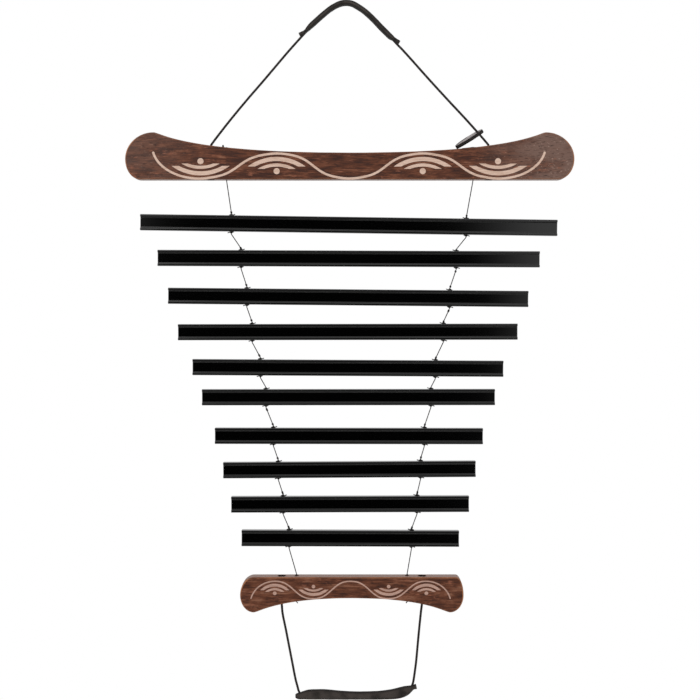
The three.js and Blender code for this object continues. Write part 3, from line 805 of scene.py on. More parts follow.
def uneven(tree, pattern, low, high):
    """A pattern as a share from about a third to one, which makes a layer patchy."""
    return add_node(tree, "MapRange", {
        "Value": pattern, "From Min": low, "From Max": high, "To Min": 0.35, "To Max": 1.0,
    }).outputs[0]


def layer(tree, under, colour, *masks):
    """A colour laid over the one so far, as much as all the masks together let it."""
    amount = masks[0]
    for mask in masks[1:]:
        amount = add_node(tree, "Math", {0: amount, 1: mask}, operation="MULTIPLY").outputs[0]
    return add_node(tree, "Mix", {
        "Factor": amount, "A": under, "B": linear(colour),
    }, data_type="RGBA").outputs["Result"]


print("patterns in the wood:", list(WOOD_PATTERNS))

# %% Where the stain has faded, streaked and filled the pores
def stain_layers(tree, tone, axes, patterns, half_length, faded_ends):
    """faded_ends is the lost stain at the board's own left and right end."""
    left = soft_mask(tree, axes["X"], -0.55 * half_length, -0.95 * half_length, faded_ends[0])
    right = soft_mask(tree, axes["X"], 0.5 * half_length, 0.9 * half_length, faded_ends[1])
    ends = add_node(tree, "Math", {0: left, 1: right}, operation="ADD").outputs[0]
    tone = layer(tree, tone, FADED_WOOD, ends, uneven(tree, patterns["patches"], 0.35, 0.6))
    streaks = soft_mask(tree, patterns["streaks"], 0.57, 0.68, 0.75)
    tone = layer(tree, tone, RUSTY_STREAK, streaks, soft_mask(tree, patterns["patches"], 0.62, 0.4))
    tone = layer(tree, tone, PALE_FLECK, soft_mask(tree, patterns["flecks"], 0.63, 0.72, 0.5), ends)
    return layer(tree, tone, FILLED_PORE, soft_mask(tree, patterns["pores"], 0.42, 0.35, 0.7))


print("over the grain: faded ends, rusty streaks, pale flecks and filled pores")

# %% Where the flat edge gets a painted sheen and the edges are rubbed
# Insets are measured in from the faces or the tips, and heights up from the flat edge.
SHEEN_INSET = (1.2, 1.6)
SHEEN_HEIGHT = (7, 1)
RIM_INSET = (2, 0.8)
RIM_OUTER_LIMIT = (0.001, 0.03)
COPPER_HEIGHT = (4, 12)
TIP_WEAR_INSET = (20, 6)


def edge_layers(tree, tone, axes, patterns, half_length, copper):
    """copper is how far the rim is rubbed at the flat edge and further up; its tips always are."""
    half = BOARD_THICKNESS / 2
    depth = add_node(tree, "Math", {0: axes["Y"]}, operation="ABSOLUTE").outputs[0]
    inside, rim, outer = [
        soft_mask(tree, depth, (half - start) * MM, (half - end) * MM)
        for start, end in (SHEEN_INSET, RIM_INSET, RIM_OUTER_LIMIT)
    ]
    flat = soft_mask(tree, axes["Z"], SHEEN_HEIGHT[0] * MM, SHEEN_HEIGHT[1] * MM, 0.85)
    # Painted sheen: the flat edge is painted grey-mauve, standing in for the white light that it reflects
    # at a grazing angle.
    tone = layer(tree, tone, PAINTED_SHEEN_GREY, flat, inside)
    with_height = add_node(tree, "MapRange", {
        "Value": axes["Z"], "From Min": COPPER_HEIGHT[0] * MM, "From Max": COPPER_HEIGHT[1] * MM,
        "To Min": copper[0], "To Max": copper[1],
    })
    along = add_node(tree, "Math", {0: axes["X"]}, operation="ABSOLUTE").outputs[0]
    tips = soft_mask(tree, along, *[half_length - inset * MM for inset in TIP_WEAR_INSET])
    worn = add_node(tree, "Math", {0: with_height.outputs[0], 1: tips}, operation="MAXIMUM")
    rubbed = uneven(tree, patterns["patches"], 0.38, 0.58)
    return layer(tree, tone, COPPER_RIM, rim, outer, worn.outputs[0], rubbed)


print("rims are rubbed over their outer", RIM_INSET[0], "mm")

# %% Materials: stained wood, and painted shade for the holes
GRAIN_SHARE_OF_BLOTCHES = 0.45


def stained_wood(name, board, pale, faded_ends, copper):
    """pale lifts the whole grain; faded_ends and copper are as in the two functions above."""
    material, tree = new_material(name)
    place = add_node(tree, "TexCoord")
    axes = add_node(tree, "SeparateXYZ", {"Vector": place.outputs["Object"]}).outputs
    patterns = {kind: noise_pattern(tree, *values) for kind, values in WOOD_PATTERNS.items()}
    grain = add_node(tree, "Mix", {
        "Factor": GRAIN_SHARE_OF_BLOTCHES, "A": patterns["fine_grain"], "B": patterns["blotches"],
    }, data_type="FLOAT").outputs["Result"]
    lifted = add_node(tree, "Math", {0: grain, 1: pale}, operation="ADD")
    tone = add_node(tree, "ValToRGB", {"Fac": lifted.outputs[0]}, stops=WOOD_TONES).outputs[0]
    half_length = board["length"] / 2 * MM
    tone = stain_layers(tree, tone, axes, patterns, half_length, faded_ends)
    tone = edge_layers(tree, tone, axes, patterns, half_length, copper)
    satin = add_node(tree, "MapRange", {"Value": grain, "To Min": 0.45, "To Max": 0.65})
    surface(tree, {
        "Base Color": tone, "Roughness": satin.outputs[0], "Specular IOR Level": 0.22,
        "Normal": relief(tree, (grain, 0.5, 0.3), (patterns["pores"], 0.4, 0.2)),
    })
    return material


def hole_shade_wood():
    material, tree = new_material("hole_shade_wood")
    # Painted shade: the walls of the holes are painted near black, for the little light that reaches into
    # them.
    hole_mottle = noise_pattern(tree, (3, 3, 1), 3.0, 0.6)
    tone = add_node(tree, "ValToRGB", {"Fac": hole_mottle}, stops=[(0.35, "#0d0705"), (0.7, "#27160f")])
    surface(tree, {
        "Base Color": tone.outputs[0], "Roughness": 0.8, "Specular IOR Level": 0.15,
        "Normal": relief(tree, (hole_mottle, 0.5, 0.2)),
    })
    return material


UPPER_WOOD = stained_wood("stained_wood_upper", UPPER_BOARD, -0.02, (0.38, 1.1), (0.3, 0.2))
LOWER_WOOD = stained_wood("stained_wood_lower", LOWER_BOARD, 0.02, (0.0, 0.0), (0.65, 0.4))
HOLE_SHADE_WOOD = hole_shade_wood()
print("made", UPPER_WOOD.name, LOWER_WOOD.name, "and", HOLE_SHADE_WOOD.name)

# %% [markdown]
# ## The boards
#
# Each board is sawn from a plank: a flat edge, round ends, and a low waist. Its outline is four
# elliptical arcs and two long curves. The faces stay flat and the edge is rubbed round by hand, so
# the rounding varies a little along the board. The holes are drilled afterwards, with a stepped
# drill for the cord, whose wide part leaves room for the knot.

# %% Board outline
ARC_STEPS = 26
WAIST_STEPS = 60


def arc(centre_x, centre_z, reach, rise, start, end):
    """Points of an elliptical arc between two angles in degrees, without its last point."""
    points = []
    for step in range(ARC_STEPS):
        turn = math.radians(start + (end - start) * step / ARC_STEPS)
        points.append(Vector((centre_x + reach * math.cos(turn), centre_z + rise * math.sin(turn))))
    return points


def board_outline(board):
    """The outline anticlockwise, from the right end of the flat edge."""
    tip = board["length"] / 2
    crown = tip - board["crown_reach"]
    low = board["tip_height"]
    crown_rise = board["end_height"] - low
    waist = [curve_point(waist_corners(board), step / WAIST_STEPS) for step in range(WAIST_STEPS)]
    left, right = [
        [
            *arc(tip - heel_reach, low, heel_reach, low, -90, 0),
            *arc(crown, low, board["crown_reach"], crown_rise, 0, 90),
            *waist,
        ]
        for heel_reach in board["heel_reaches"]
    ]
    middle = Vector((0, board["waist_height"]))
    return [*right, middle, *[Vector((-point.x, point.y)) for point in reversed(left)]]


def left_of(line, closed=True):
    """At each point, the unit vector to the line's left: inwards, if it closes anticlockwise."""
    first, last = (line[-1], line[0]) if closed else (line[0], line[-1])
    ways = []
    for before, after in zip([first, *line[:-1]], [*line[1:], last]):
        ahead = (after - before).normalized()
        ways.append(Vector((-ahead.y, ahead.x)))
    return ways


print("points round the upper board:", len(board_outline(UPPER_BOARD)))

# %% Board body
EDGE_ROUND = 1.5
EDGE_STEPS = 5
EDGE_WANDER = 0.35
EDGE_WANDER_LENGTH = 23
WANDER_BETWEEN_FACES = 3


def quarter_round(steps):
    """A rounded edge as shares of its rounding: (in from the side, back from the face)."""
    turns = [math.pi / 2 * step / steps for step in range(steps + 1)]
    return [(1 - math.sin(turn), 1 - math.cos(turn)) for turn in turns]


def board_body(board):
    """Points and faces of a board with rounded edges and no holes yet."""
    outline = board_outline(board)
    ways = left_of(outline)
    half = BOARD_THICKNESS / 2
    profile = quarter_round(EDGE_STEPS)
    rings = [(inset, -1, back) for inset, back in profile]
    rings += [(inset, 1, back) for inset, back in reversed(profile)]
    points = []
    for inset, face, back in rings:
        for point, way in zip(outline, ways):
            here = point / EDGE_WANDER_LENGTH
            wander = noise.noise(Vector((here.x, here.y, WANDER_BETWEEN_FACES * face)))
            rounding = EDGE_ROUND * (1 + EDGE_WANDER * wander)
            rim = point + way * rounding * inset
            points.append((rim.x, face * (half - rounding * back), rim.y))
    return points, ring_faces(len(rings), len(outline))


print("edges are rounded by about", EDGE_ROUND, "mm")


# %% Drills
DRILL_SIDES = 32
DRILL_OVERSHOOT = 1
HOLE_LIP = 0.4


def circle(radius, steps):
    """Points (x, y) evenly spaced round a circle."""
    turns = [math.tau * step / steps for step in range(steps)]
    return [(radius * math.cos(turn), radius * math.sin(turn)) for turn in turns]


def drill(x, steps):
    """A stepped drill standing at x: its steps are (radius, height), from below upwards."""
    points = [
        (x + along, depth, height)
        for radius, height in steps for along, depth in circle(radius, DRILL_SIDES)
    ]
    return points, ring_faces(len(steps), DRILL_SIDES)


def merged(parts):
    """Points and faces of several parts as those of one mesh."""
    points, faces = [], []
    for part_points, part_faces in parts:
        start = len(points)
        points += part_points
        faces += [tuple(start + corner for corner in face) for face in part_faces]
    return points, faces


def cut(piece, drills, inside):
    """Cuts the drilled holes out of the piece and keeps only the mesh; inside is their walls' finish."""
    cutter = mesh_piece("drills", *merged(drills), inside)
    cutter.matrix_world = piece.matrix_world
    holes = piece.modifiers.new("holes", "BOOLEAN")
    holes.operation = "DIFFERENCE"
    holes.solver = "EXACT"
    holes.object = cutter
    holes.material_mode = "TRANSFER"
    keep_modified_mesh(piece)
    bpy.data.objects.remove(cutter)


def keep_modified_mesh(piece):
    """Applies every modifier of a piece."""
    bpy.context.view_layer.update()
    seen = piece.evaluated_get(bpy.context.evaluated_depsgraph_get())
    made = bpy.data.meshes.new_from_object(seen)
    piece.modifiers.clear()
    piece.data = made
    made.shade_smooth()
    made.set_sharp_from_angle(angle=SHARP_ANGLE)


def weigh_normals(piece):
    """Lets the large flat faces set the shading, so that only the roundings look round."""
    weighted = piece.modifiers.new("flat_faces", "WEIGHTED_NORMAL")
    weighted.keep_sharp = True


def board_drills(board):
    """The drills for a board's two cords, with room for their knots, and for its two strings."""
    knot_room = COUNTERBORE_DIAMETER / 2
    below = -DRILL_OVERSHOOT
    above = board["end_height"] + DRILL_OVERSHOOT
    cord_steps = [
        (knot_room + HOLE_LIP + DRILL_OVERSHOOT, below), (knot_room, HOLE_LIP),
        (knot_room, COUNTERBORE_DEPTH), (CORD_HOLE / 2, COUNTERBORE_DEPTH), (CORD_HOLE / 2, above),
    ]
    string_steps = [(STRING_HOLE / 2, below), (STRING_HOLE / 2, above)]
    return [
        drill(side * span / 2, steps)
        for _, side in SIDES
        for span, steps in ((board["cord_span"], cord_steps), (board["string_span"], string_steps))
    ]


print("a string hole is", STRING_HOLE, "mm wide and a cord hole", CORD_HOLE, "mm")

# %% The finished boards
def wooden_board(name, board, wood, place, body):
    piece = mesh_piece(name, *board_body(board), wood, place)
    cut(piece, board_drills(board), HOLE_SHADE_WOOD)
    weigh_normals(piece)
    return attach(piece, body, "wood", body)


UPPER_PLACE = Matrix.Translation((0, 0, UPPER_FLAT))
LOWER_PLACE = Matrix.Translation((LOWER_SHIFT, 0, LOWER_FLAT)) @ Matrix.Rotation(math.pi, 4, "Y")
upper_board = wooden_board("upper_board", UPPER_BOARD, UPPER_WOOD, UPPER_PLACE, "top_board")
lower_board = wooden_board("lower_board", LOWER_BOARD, LOWER_WOOD, LOWER_PLACE, "bottom_board")
print("faces of the boards:", len(upper_board.data.polygons), len(lower_board.data.polygons))

# %% [markdown]
# ## The ornament
#
# A wave runs along each board's front, and each of its troughs and crests holds a dot under two
# bowed bands. On the real boards it is etched through the stain to the pale wood. A thin strip that
# stands a tenth of a millimetre proud gives the etched lines crisp edges, which a painted pattern
# wouldn't.

# %% Material: etched wood
def etched_wood(name, colour, dark_colour):
    material, tree = new_material(name)
    grain = noise_pattern(tree, (20, 1.6, 1.6), 5.0, 0.65)
    tone = add_node(tree, "ValToRGB", {"Fac": grain}, stops=[(0.3, dark_colour), (0.55, colour)])
    surface(tree, {
        "Base Color": tone.outputs[0], "Roughness": 0.75, "Normal": relief(tree, (grain, 0.4, 0.2)),
    })
    return material


UPPER_ETCHING = etched_wood("etched_wood_upper", "#ccb09f", "#b3937f")
LOWER_ETCHING = etched_wood("etched_wood_lower", "#b59283", "#9a786a")
print("made", UPPER_ETCHING.name, "and", LOWER_ETCHING.name)

# %% Strips on a board's front
ETCH_PROUD = 0.12
ETCH_SUNK = 0.1
STRIP_STEPS = 28
CAP_STEPS = 8
DOT_STEPS = 28


def raise_outline(outline):
    """Points and faces of a thin plate with this outline on the board's front."""
    front = -BOARD_THICKNESS / 2 - ETCH_PROUD
    back = -BOARD_THICKNESS / 2 + ETCH_SUNK
    points = [(point.x, y, point.y) for y in (back, front) for point in outline]
    return points, ring_faces(2, len(outline))


def ribbon(line, width):
    """The outline of a line drawn with a round-ended tool."""
    ways = [way * width / 2 for way in left_of(line, closed=False)]
    end_cap, start_cap = [], []
    for cap, end, way in ((end_cap, line[-1], ways[-1]), (start_cap, line[0], -ways[0])):
        ahead = Vector((way.y, -way.x))
        for step in range(1, CAP_STEPS):
            turn = math.pi * step / CAP_STEPS
            cap.append(end + way * math.cos(turn) + ahead * math.sin(turn))
    there = [point + way for point, way in zip(line, ways)]
    back = [point - way for point, way in zip(line, ways)]
    return [*there, *end_cap, *reversed(back), *start_cap]


def bowed_band(middle, chord, way, outer, inner):
    """A band between two arcs over one chord; outer and inner are (half chord, rise)."""
    outline = []
    for (reach, rise), turn in ((outer, 1), (inner, -1)):
        radius = (reach**2 + rise**2) / (2 * rise)
        spread = math.asin(min(1, reach / radius))
        for step in range(STRIP_STEPS + 1):
            angle = turn * spread * (2 * step / STRIP_STEPS - 1)
            height = rise - radius * (1 - math.cos(angle))
            outline.append(Vector((middle + radius * math.sin(angle), chord + way * height)))
    return outline


print("strips stand", ETCH_PROUD, "mm proud")

# %% Motifs and whole ornaments
# Each band's outer and inner arc, as shares of the motif's reach and rise.
BAND_SHAPES = [((1, 1), (0.745, 0.565)), ((0.655, 0.56), (0.43, 0.23))]
BAND_STEP = 0.24
DOT_STEP = 0.24


def motif(middle, chord, way, reach, rise, dot):
    """Two bowed bands and a dot. way is 1 for a dome and -1 for a bowl."""
    outlines = []
    for order, (outer, inner) in enumerate(BAND_SHAPES):
        outlines.append(bowed_band(
            middle, chord - way * order * BAND_STEP * rise, way,
            (reach * outer[0], rise * outer[1]), (reach * inner[0], rise * inner[1]),
        ))
    centre = Vector((middle, chord - way * (BAND_STEP + DOT_STEP) * rise))
    outlines.append([centre + Vector(point) for point in circle(dot, DOT_STEPS)])
    return outlines


def ornament(name, wave, line_width, motifs, finish, place, body):
    """A wave and its motifs: for each kind its middles, then its chord, way, reach, rise and dot."""
    outlines = [ribbon(wave, line_width)]
    for middles, *shape in motifs:
        for middle in middles:
            outlines += motif(middle, *shape)
    plates = merged([raise_outline(outline) for outline in outlines])
    attach(mesh_piece(name, *plates, finish, place), body, "wood")
    print(name, "has", len(outlines), "plates")


# %% Wave lines
WAVE_STEPS = 24


def wave_line(turning_points, middle, swing, flatness, kink, tail):
    """A wave through its turning points, with a steep quarter of an ellipse at each end.

    swing is the wave's height above its middle at the first turning point, so a wave that starts
    in a trough has a negative one. flatness widens crests and troughs, and kink steepens the parts
    between them. tail is the ellipse's reach and rise, and how far along it the tail goes.
    """
    tail_reach, tail_rise, tail_length = tail
    line = []
    for turn, (start, end) in enumerate(zip(turning_points, turning_points[1:])):
        for step in range(WAVE_STEPS):
            phase = math.pi * (turn + step / WAVE_STEPS)
            shape = math.cos(phase) - flatness * math.cos(3 * phase) + kink * math.cos(5 * phase)
            height = middle + swing * shape / (1 - flatness + kink)
            line.append(Vector((start + (end - start) * step / WAVE_STEPS, height)))
    last_way = 1 if len(turning_points) % 2 else -1
    line.append(Vector((turning_points[-1], middle + swing * last_way)))
    way = math.copysign(1, -swing)
    spread = math.asin(tail_length / tail_reach)
    start_tail, end_tail = [], []
    for step in range(1, WAVE_STEPS + 1):
        turn = spread * step / WAVE_STEPS
        rise = way * tail_rise * (1 - math.cos(turn))
        start_tail.append(line[0] + Vector((-tail_reach * math.sin(turn), rise)))
        end_tail.append(line[-1] + Vector((tail_reach * math.sin(turn), rise)))
    return [*reversed(start_tail), *line, *end_tail]


UPPER_WAVE = wave_line(
    turning_points=[-200.9, -96.3, -0.5, 97.3, 198.7], middle=17.5, swing=-16.7,
    flatness=0.08, kink=0.022, tail=(62.5, 42.8, 61.3),
)
ornament("upper_ornament", UPPER_WAVE, 3, [
    ([-199.2, 197.8], 17.7, -1, 38.9, 12.7, 4.1), ([-97.6, 97.4], 16.8, 1, 38.7, 12.8, 4.1),
], UPPER_ETCHING, UPPER_PLACE, "top_board")

# The lower board hangs upside down, so left and right, and bowls and domes, change places here.
LOWER_WAVE = wave_line(
    turning_points=[-100.4, -49.2, 1.7, 52.7, 103.8], middle=17.2, swing=-11.85,
    flatness=0.06, kink=0, tail=(33.4, 31, 32.3),
)
ornament("lower_ornament", LOWER_WAVE, 1.8, [
    ([-100.6, 104.1], 17.5, -1, 19.6, 8.8, 2.5), ([-49.7, 51.8], 16.7, 1, 20.3, 8.5, 2.4),
], LOWER_ETCHING, LOWER_PLACE, "bottom_board")

# %% [markdown]
# ## The bars
#
# Each bar is a drawn section: a rounded lip along the top and bottom of both faces, and a groove
# between them. The section is drawn once, with every corner rounded, and run out to each bar's
# length. The bars' ends are broken with a small rounding, and two holes let the strings through.

# %% The bars' section
BAR_DEPTH = 10.6
WEB_THICKNESS = 5.4
LIP_HEIGHT = 3.4
GROOVE_WALL_HEIGHT = 0.8
LIP_TOP_ROUND = 1.5
LIP_INNER_ROUND = 1
GROOVE_ROUND = 0.7
CORNER_STEPS = 6


def rounded_corner(before, here, after, rounding):
    """Points of a corner softened over `rounding` millimetres to each side."""
    start = here + (before - here).normalized() * rounding
    end = here + (after - here).normalized() * rounding
    return [curve_point([start, here, end], step / CORNER_STEPS) for step in range(CORNER_STEPS + 1)]


def bar_section():
    """The section's outline as (depth, height), anticlockwise."""
    half = BAR_HEIGHT / 2
    face = BAR_DEPTH / 2
    lip = half - LIP_HEIGHT
    quarter = [
        (Vector((face, half)), LIP_TOP_ROUND),
        (Vector((face, lip)), LIP_INNER_ROUND),
        (Vector((WEB_THICKNESS / 2, lip - GROOVE_WALL_HEIGHT)), GROOVE_ROUND),
    ]
    lower = [(Vector((point.x, -point.y)), size) for point, size in reversed(quarter)]
    right = [*quarter, *lower]
    corners = [*right, *[(-point, size) for point, size in right]]
    outline = []
    for i, (here, size) in enumerate(corners):
        after = corners[(i + 1) % len(corners)][0]
        outline += rounded_corner(corners[i - 1][0], here, after, size)
    return list(reversed(outline))


print("points round a bar's section:", len(bar_section()))

# %% The ten bars
BAR_END_ROUND = 0.7
BAR_END_STEPS = 3


def bar_body(length):
    """Points and faces of a bar with rounded end edges and no holes yet."""
    outline = bar_section()
    ways = left_of(outline)
    ends = quarter_round(BAR_END_STEPS)
    rings = [(inset, back, -1) for inset, back in ends]
    rings += [(inset, back, 1) for inset, back in reversed(ends)]
    points = []
    for inset, back, end in rings:
        x = end * (length / 2 - BAR_END_ROUND * back)
        for point, way in zip(outline, ways):
            rim = point + way * BAR_END_ROUND * inset
            points.append((x, rim.x, rim.y))
    return points, ring_faces(len(rings), len(outline))


bar_drill = [(STRING_HOLE / 2, -BAR_HEIGHT), (STRING_HOLE / 2, BAR_HEIGHT)]
for index, place in enumerate(BAR_PLACES):
    body = f"bar_{index + 1:02d}"
    bar = mesh_piece(f"chime_{body}", *bar_body(bar_length(index)), LACQUERED_ALUMINIUM, place)
    cut(bar, [drill(side * hole_offset(index), bar_drill) for _, side in SIDES], LACQUERED_ALUMINIUM)
    weigh_normals(bar)
    attach(bar, body, "bar", body)
print("bars:", len(BAR_PLACES), "each with", len(bar.data.polygons), "faces")

# %% [markdown]
# ## Woven webbing
#
# Each grip is a strip of soft woven webbing, folded round the cord. Its yarns are about half a
# millimetre apart, which would vanish in the picture, so the weave is drawn three times as coarse.
# The pattern is laid out on the strip itself, in its own length and width, so that it bends with it.
# Patches of the front are painted paler: in part wear, and in part painted light, lighter where the
# fold faces front and darker towards its edges.

# %% Material: woven webbing
# A wave texture's scale of this much gives one wave to the unit.
WAVE_UNIT = math.pi / 10
YARN_PITCH = 1.5
LIT_AND_RUBBED_WEBBING = "#453e3a"


def woven_webbing():
    material, tree = new_material("woven_webbing")
    strip = add_node(tree, "UVMap", uv_map="strip")
    warp, weft = [
        add_node(tree, "TexWave", {
            "Vector": strip.outputs[0], "Scale": WAVE_UNIT / (YARN_PITCH * MM), "Distortion": 0.6,
            "Detail": 1.0,
        }, bands_direction=direction).outputs["Fac"]
        for direction in ("X", "Y")
    ]
    weave = add_node(tree, "Mix", {
        "Factor": 0.5, "A": warp, "B": weft,
    }, data_type="FLOAT").outputs["Result"]
    fuzz = noise_pattern(tree, (0.8, 0.8, 0.8), 4.0)
    tone = add_node(tree, "ValToRGB", {"Fac": weave}, stops=[(0.15, "#0a0807"), (0.85, "#241f1c")])
    place = add_node(tree, "TexCoord")
    facing = add_node(tree, "SeparateXYZ", {"Vector": place.outputs["Normal"]})
    # Painted light: in patches, faces that look to the front are painted paler than the fold's edges,
    # which stay dark as painted shade.
    painted_front_light = soft_mask(tree, facing.outputs["Y"], -0.55, -0.97)
    rubbed = soft_mask(tree, noise_pattern(tree, (16, 16, 16), 3.0), 0.25, 0.65, 0.75)
    surface(tree, {
        "Base Color": layer(tree, tone.outputs[0], LIT_AND_RUBBED_WEBBING, rubbed, painted_front_light),
        "Roughness": 0.85, "Specular IOR Level": 0.2, "Sheen Weight": 0.08, "Sheen Roughness": 0.5,
        "Normal": relief(tree, (weave, 0.8, 0.3), (fuzz, 0.5, 0.2)),
    })
    return material


WOVEN_WEBBING = woven_webbing()
print("made", WOVEN_WEBBING.name)

# %% [markdown]
# ## The grips
#
# Real webbing folded round a cord isn't a solid tube: it is a sheet with an inside, an open end and
# an edge that overlaps. So the section below is a spiral, one turn and a bit, thickened to the
# sheet's own thickness, with the cord running inside. Near both ends it is drawn in, by a few turns
# of thread on the upper grip, and past them it stands open in a blunt flap.

# %% Stations along the grips
# Points are (x, z, share of the grip's thickness, share of its depth).
UPPER_GRIP = {
    "thickness": 8, "depth": 15,
    "stations": [
        (-67.2, -38.6, 0.75, 0.72), (-63.6, -36.6, 0.68, 0.74), (-59.6, -34.2, 0.53, 0.7),
        (-56.4, -31.1, 0.75, 0.86), (-52.2, -26.7, 0.93, 1), (-45.6, -20.7, 0.97, 1),
        (-36.6, -12.8, 0.97, 1), (-27.8, -5.5, 0.97, 1), (-20, -0.7, 0.97, 1), (-12.5, 2.7, 1, 1),
        (-5, 3.9, 1, 1), (2.8, 2.7, 1, 1), (10.5, -1.2, 1, 1), (18, -6.1, 1, 1), (26, -12.8, 1, 1),
        (34.2, -20.8, 1, 1), (42.2, -29.2, 1, 1), (49.2, -36.2, 1, 1), (54.2, -40.9, 0.95, 1),
        (57.4, -43.2, 0.78, 0.86), (60.4, -45, 0.53, 0.7), (63.2, -47, 0.68, 0.74),
        (66, -49, 0.75, 0.72),
    ],
}
LOWER_GRIP = {
    "thickness": 15, "depth": 10,
    "stations": [
        (-76.6, -164.9, 0.32, 0.5), (-75.4, -164.9, 0.48, 0.6), (-73.2, -164.8, 0.6, 0.7),
        (-70.2, -164.8, 0.67, 0.8),
        (-65, -163.8, 0.79, 0.9), (-59, -163, 0.92, 1), (-48, -162.7, 0.97, 1), (-36, -162.8, 0.96, 1),
        (-23, -163.4, 0.89, 1), (-9, -164, 0.81, 1), (4, -164.3, 0.77, 1), (17.6, -164.3, 0.77, 1),
        (31, -164, 0.8, 1), (42.4, -163.5, 0.85, 1), (52, -162.7, 0.92, 1), (60, -161.7, 0.99, 1),
        (67.6, -159.8, 1, 1), (73.6, -157.6, 0.91, 0.95), (78.6, -155.3, 0.69, 0.8),
        (82.4, -153.3, 0.46, 0.7), (85, -152.4, 0.45, 0.7), (88, -151.7, 0.49, 0.66),
    ],
}

# %% Fold a strip round the cord
WEBBING_THICKNESS = 1.2
FOLD_STEPS = 44
FOLD_OVERLAP = math.radians(50)
FOLD_SPACING = 1
# The strip's inner edge dips under the outer one, and comes back to the wall over this angle.
TUCK_RUN_OUT = math.radians(35)
TUCK_DEPTH = 1.15
TUCK_STEEPNESS = 2.2
CREASE_LENGTH = 7
CREASE_WIDTH = 4
CREASE_DEPTH = 0.35


def grip_frame(stations, index):
    """The grip's own directions at one of its stations: ahead along it, and across it."""
    before = stations[max(index - 1, 0)]
    after = stations[min(index + 1, len(stations) - 1)]
    ahead = Vector((after[0] - before[0], 0, after[1] - before[1])).normalized()
    return ahead, across_from(ahead)


def folded_ring(centre, across, half_thick, half_deep, seam, along):
    """One ring of the rolled sheet's middle line, from its tucked inner edge to the seam."""
    turn_through = math.tau + FOLD_OVERLAP
    points = []
    for step in range(FOLD_STEPS + 1):
        share = step / FOLD_STEPS
        turn = seam - turn_through * (1 - share)
        tuck = max(0, 1 - share * turn_through / (FOLD_OVERLAP + TUCK_RUN_OUT))
        inset = WEBBING_THICKNESS * (0.5 + TUCK_DEPTH * min(1, tuck * TUCK_STEEPNESS))
        way = across * math.cos(turn) * (half_thick - inset)
        way += Vector((0, -1, 0)) * math.sin(turn) * (half_deep - inset)
        crease = noise.noise(Vector((along / CREASE_LENGTH, way.z / CREASE_WIDTH, way.y / CREASE_WIDTH)))
        points.append(centre + way - way.normalized() * CREASE_DEPTH * (0.5 + 0.5 * crease))
    return points


print("a strip goes round the cord by", round(math.degrees(math.tau + FOLD_OVERLAP)), "degrees")

# %% The two grips
def folded_grip(name, grip, seam_degrees, body, node, x_shift=0, z_shift=0):
    """A rolled sheet through the grip's stations; its outer edge ends at the seam's angle."""
    stations = smooth_route(grip["stations"], FOLD_SPACING)
    points, lengths, widths = [], [], []
    along = 0
    for index, (x, z, thick, deep) in enumerate(stations):
        _, across = grip_frame(stations, index)
        if index:
            along += (Vector((x, z)) - Vector(stations[index - 1][:2])).length
        ring = folded_ring(
            Vector((x + x_shift, 0, z + z_shift)), across, grip["thickness"] / 2 * thick,
            grip["depth"] / 2 * deep, math.radians(seam_degrees), along,
        )
        points += ring
        lengths += [along] * len(ring)
        widths += [route_length(ring[:step + 1]) for step in range(len(ring))]
    row = FOLD_STEPS + 1
    faces = [
        (i * row + k, i * row + k + 1, (i + 1) * row + k + 1, (i + 1) * row + k)
        for i in range(len(stations) - 1) for k in range(FOLD_STEPS)
    ]
    piece = mesh_piece(name, points, faces, WOVEN_WEBBING)
    strip = piece.data.uv_layers.new(name="strip")
    for loop in piece.data.loops:
        corner = loop.vertex_index
        strip.data[loop.index].uv = (lengths[corner] * MM, widths[corner] * MM)
    sheet = piece.modifiers.new("sheet", "SOLIDIFY")
    sheet.thickness = WEBBING_THICKNESS * MM
    sheet.offset = 0
    keep_modified_mesh(piece)
    attach(piece, body, "grip", node)


folded_grip("upper_grip_strip", UPPER_GRIP, 62, "hanger", "top_grip")
folded_grip(
    "lower_grip_strip", LOWER_GRIP, 118, "lower_handle", "bottom_grip",
    LOWER_SHIFT, LOWER_FLAT,
)

# %% Thread round the necks of the upper grip
THREAD_DIAMETER = 0.7
THREAD_TURNS = 4
THREAD_PITCH = 0.8
THREAD_STEPS = 36


def neck_thread(name, grip, station):
    """A few turns of thread that follow the grip's section at one of its stations."""
    x, z, thick, deep = grip["stations"][station]
    ahead, across = grip_frame(grip["stations"], station)
    half_thick = grip["thickness"] / 2 * thick
    half_deep = grip["depth"] / 2 * deep
    line = []
    for step in range(THREAD_TURNS * THREAD_STEPS + 1):
        turns = step / THREAD_STEPS
        turn = math.tau * turns
        line.append(
            Vector((x, 0, z)) + ahead * THREAD_PITCH * (turns - THREAD_TURNS / 2)
            + across * half_thick * math.cos(turn) + Vector((0, half_deep * math.sin(turn), 0))
        )
    thread = curve_piece(name, [line], THREAD_DIAMETER / 2, STRING_POLYESTER, resolution=2)
    attach(thread, "hanger", "string")


UPPER_NECKS = {"left": 2, "right": len(UPPER_GRIP["stations"]) - 3}
for name, station in UPPER_NECKS.items():
    neck_thread(f"neck_thread_{name}", UPPER_GRIP, station)
print("thread round the two necks of the upper grip")

# %% [markdown]
# ## The elastic band
#
# A small loop of flat braided elastic sits on the right cord and keeps the beater. Its outer face
# has close cross ribs, dark with wear, and its inner face is pale, which shows in the far strand.
# The ribs are real steps in the mesh, since the picture shows them on the loop's outline.

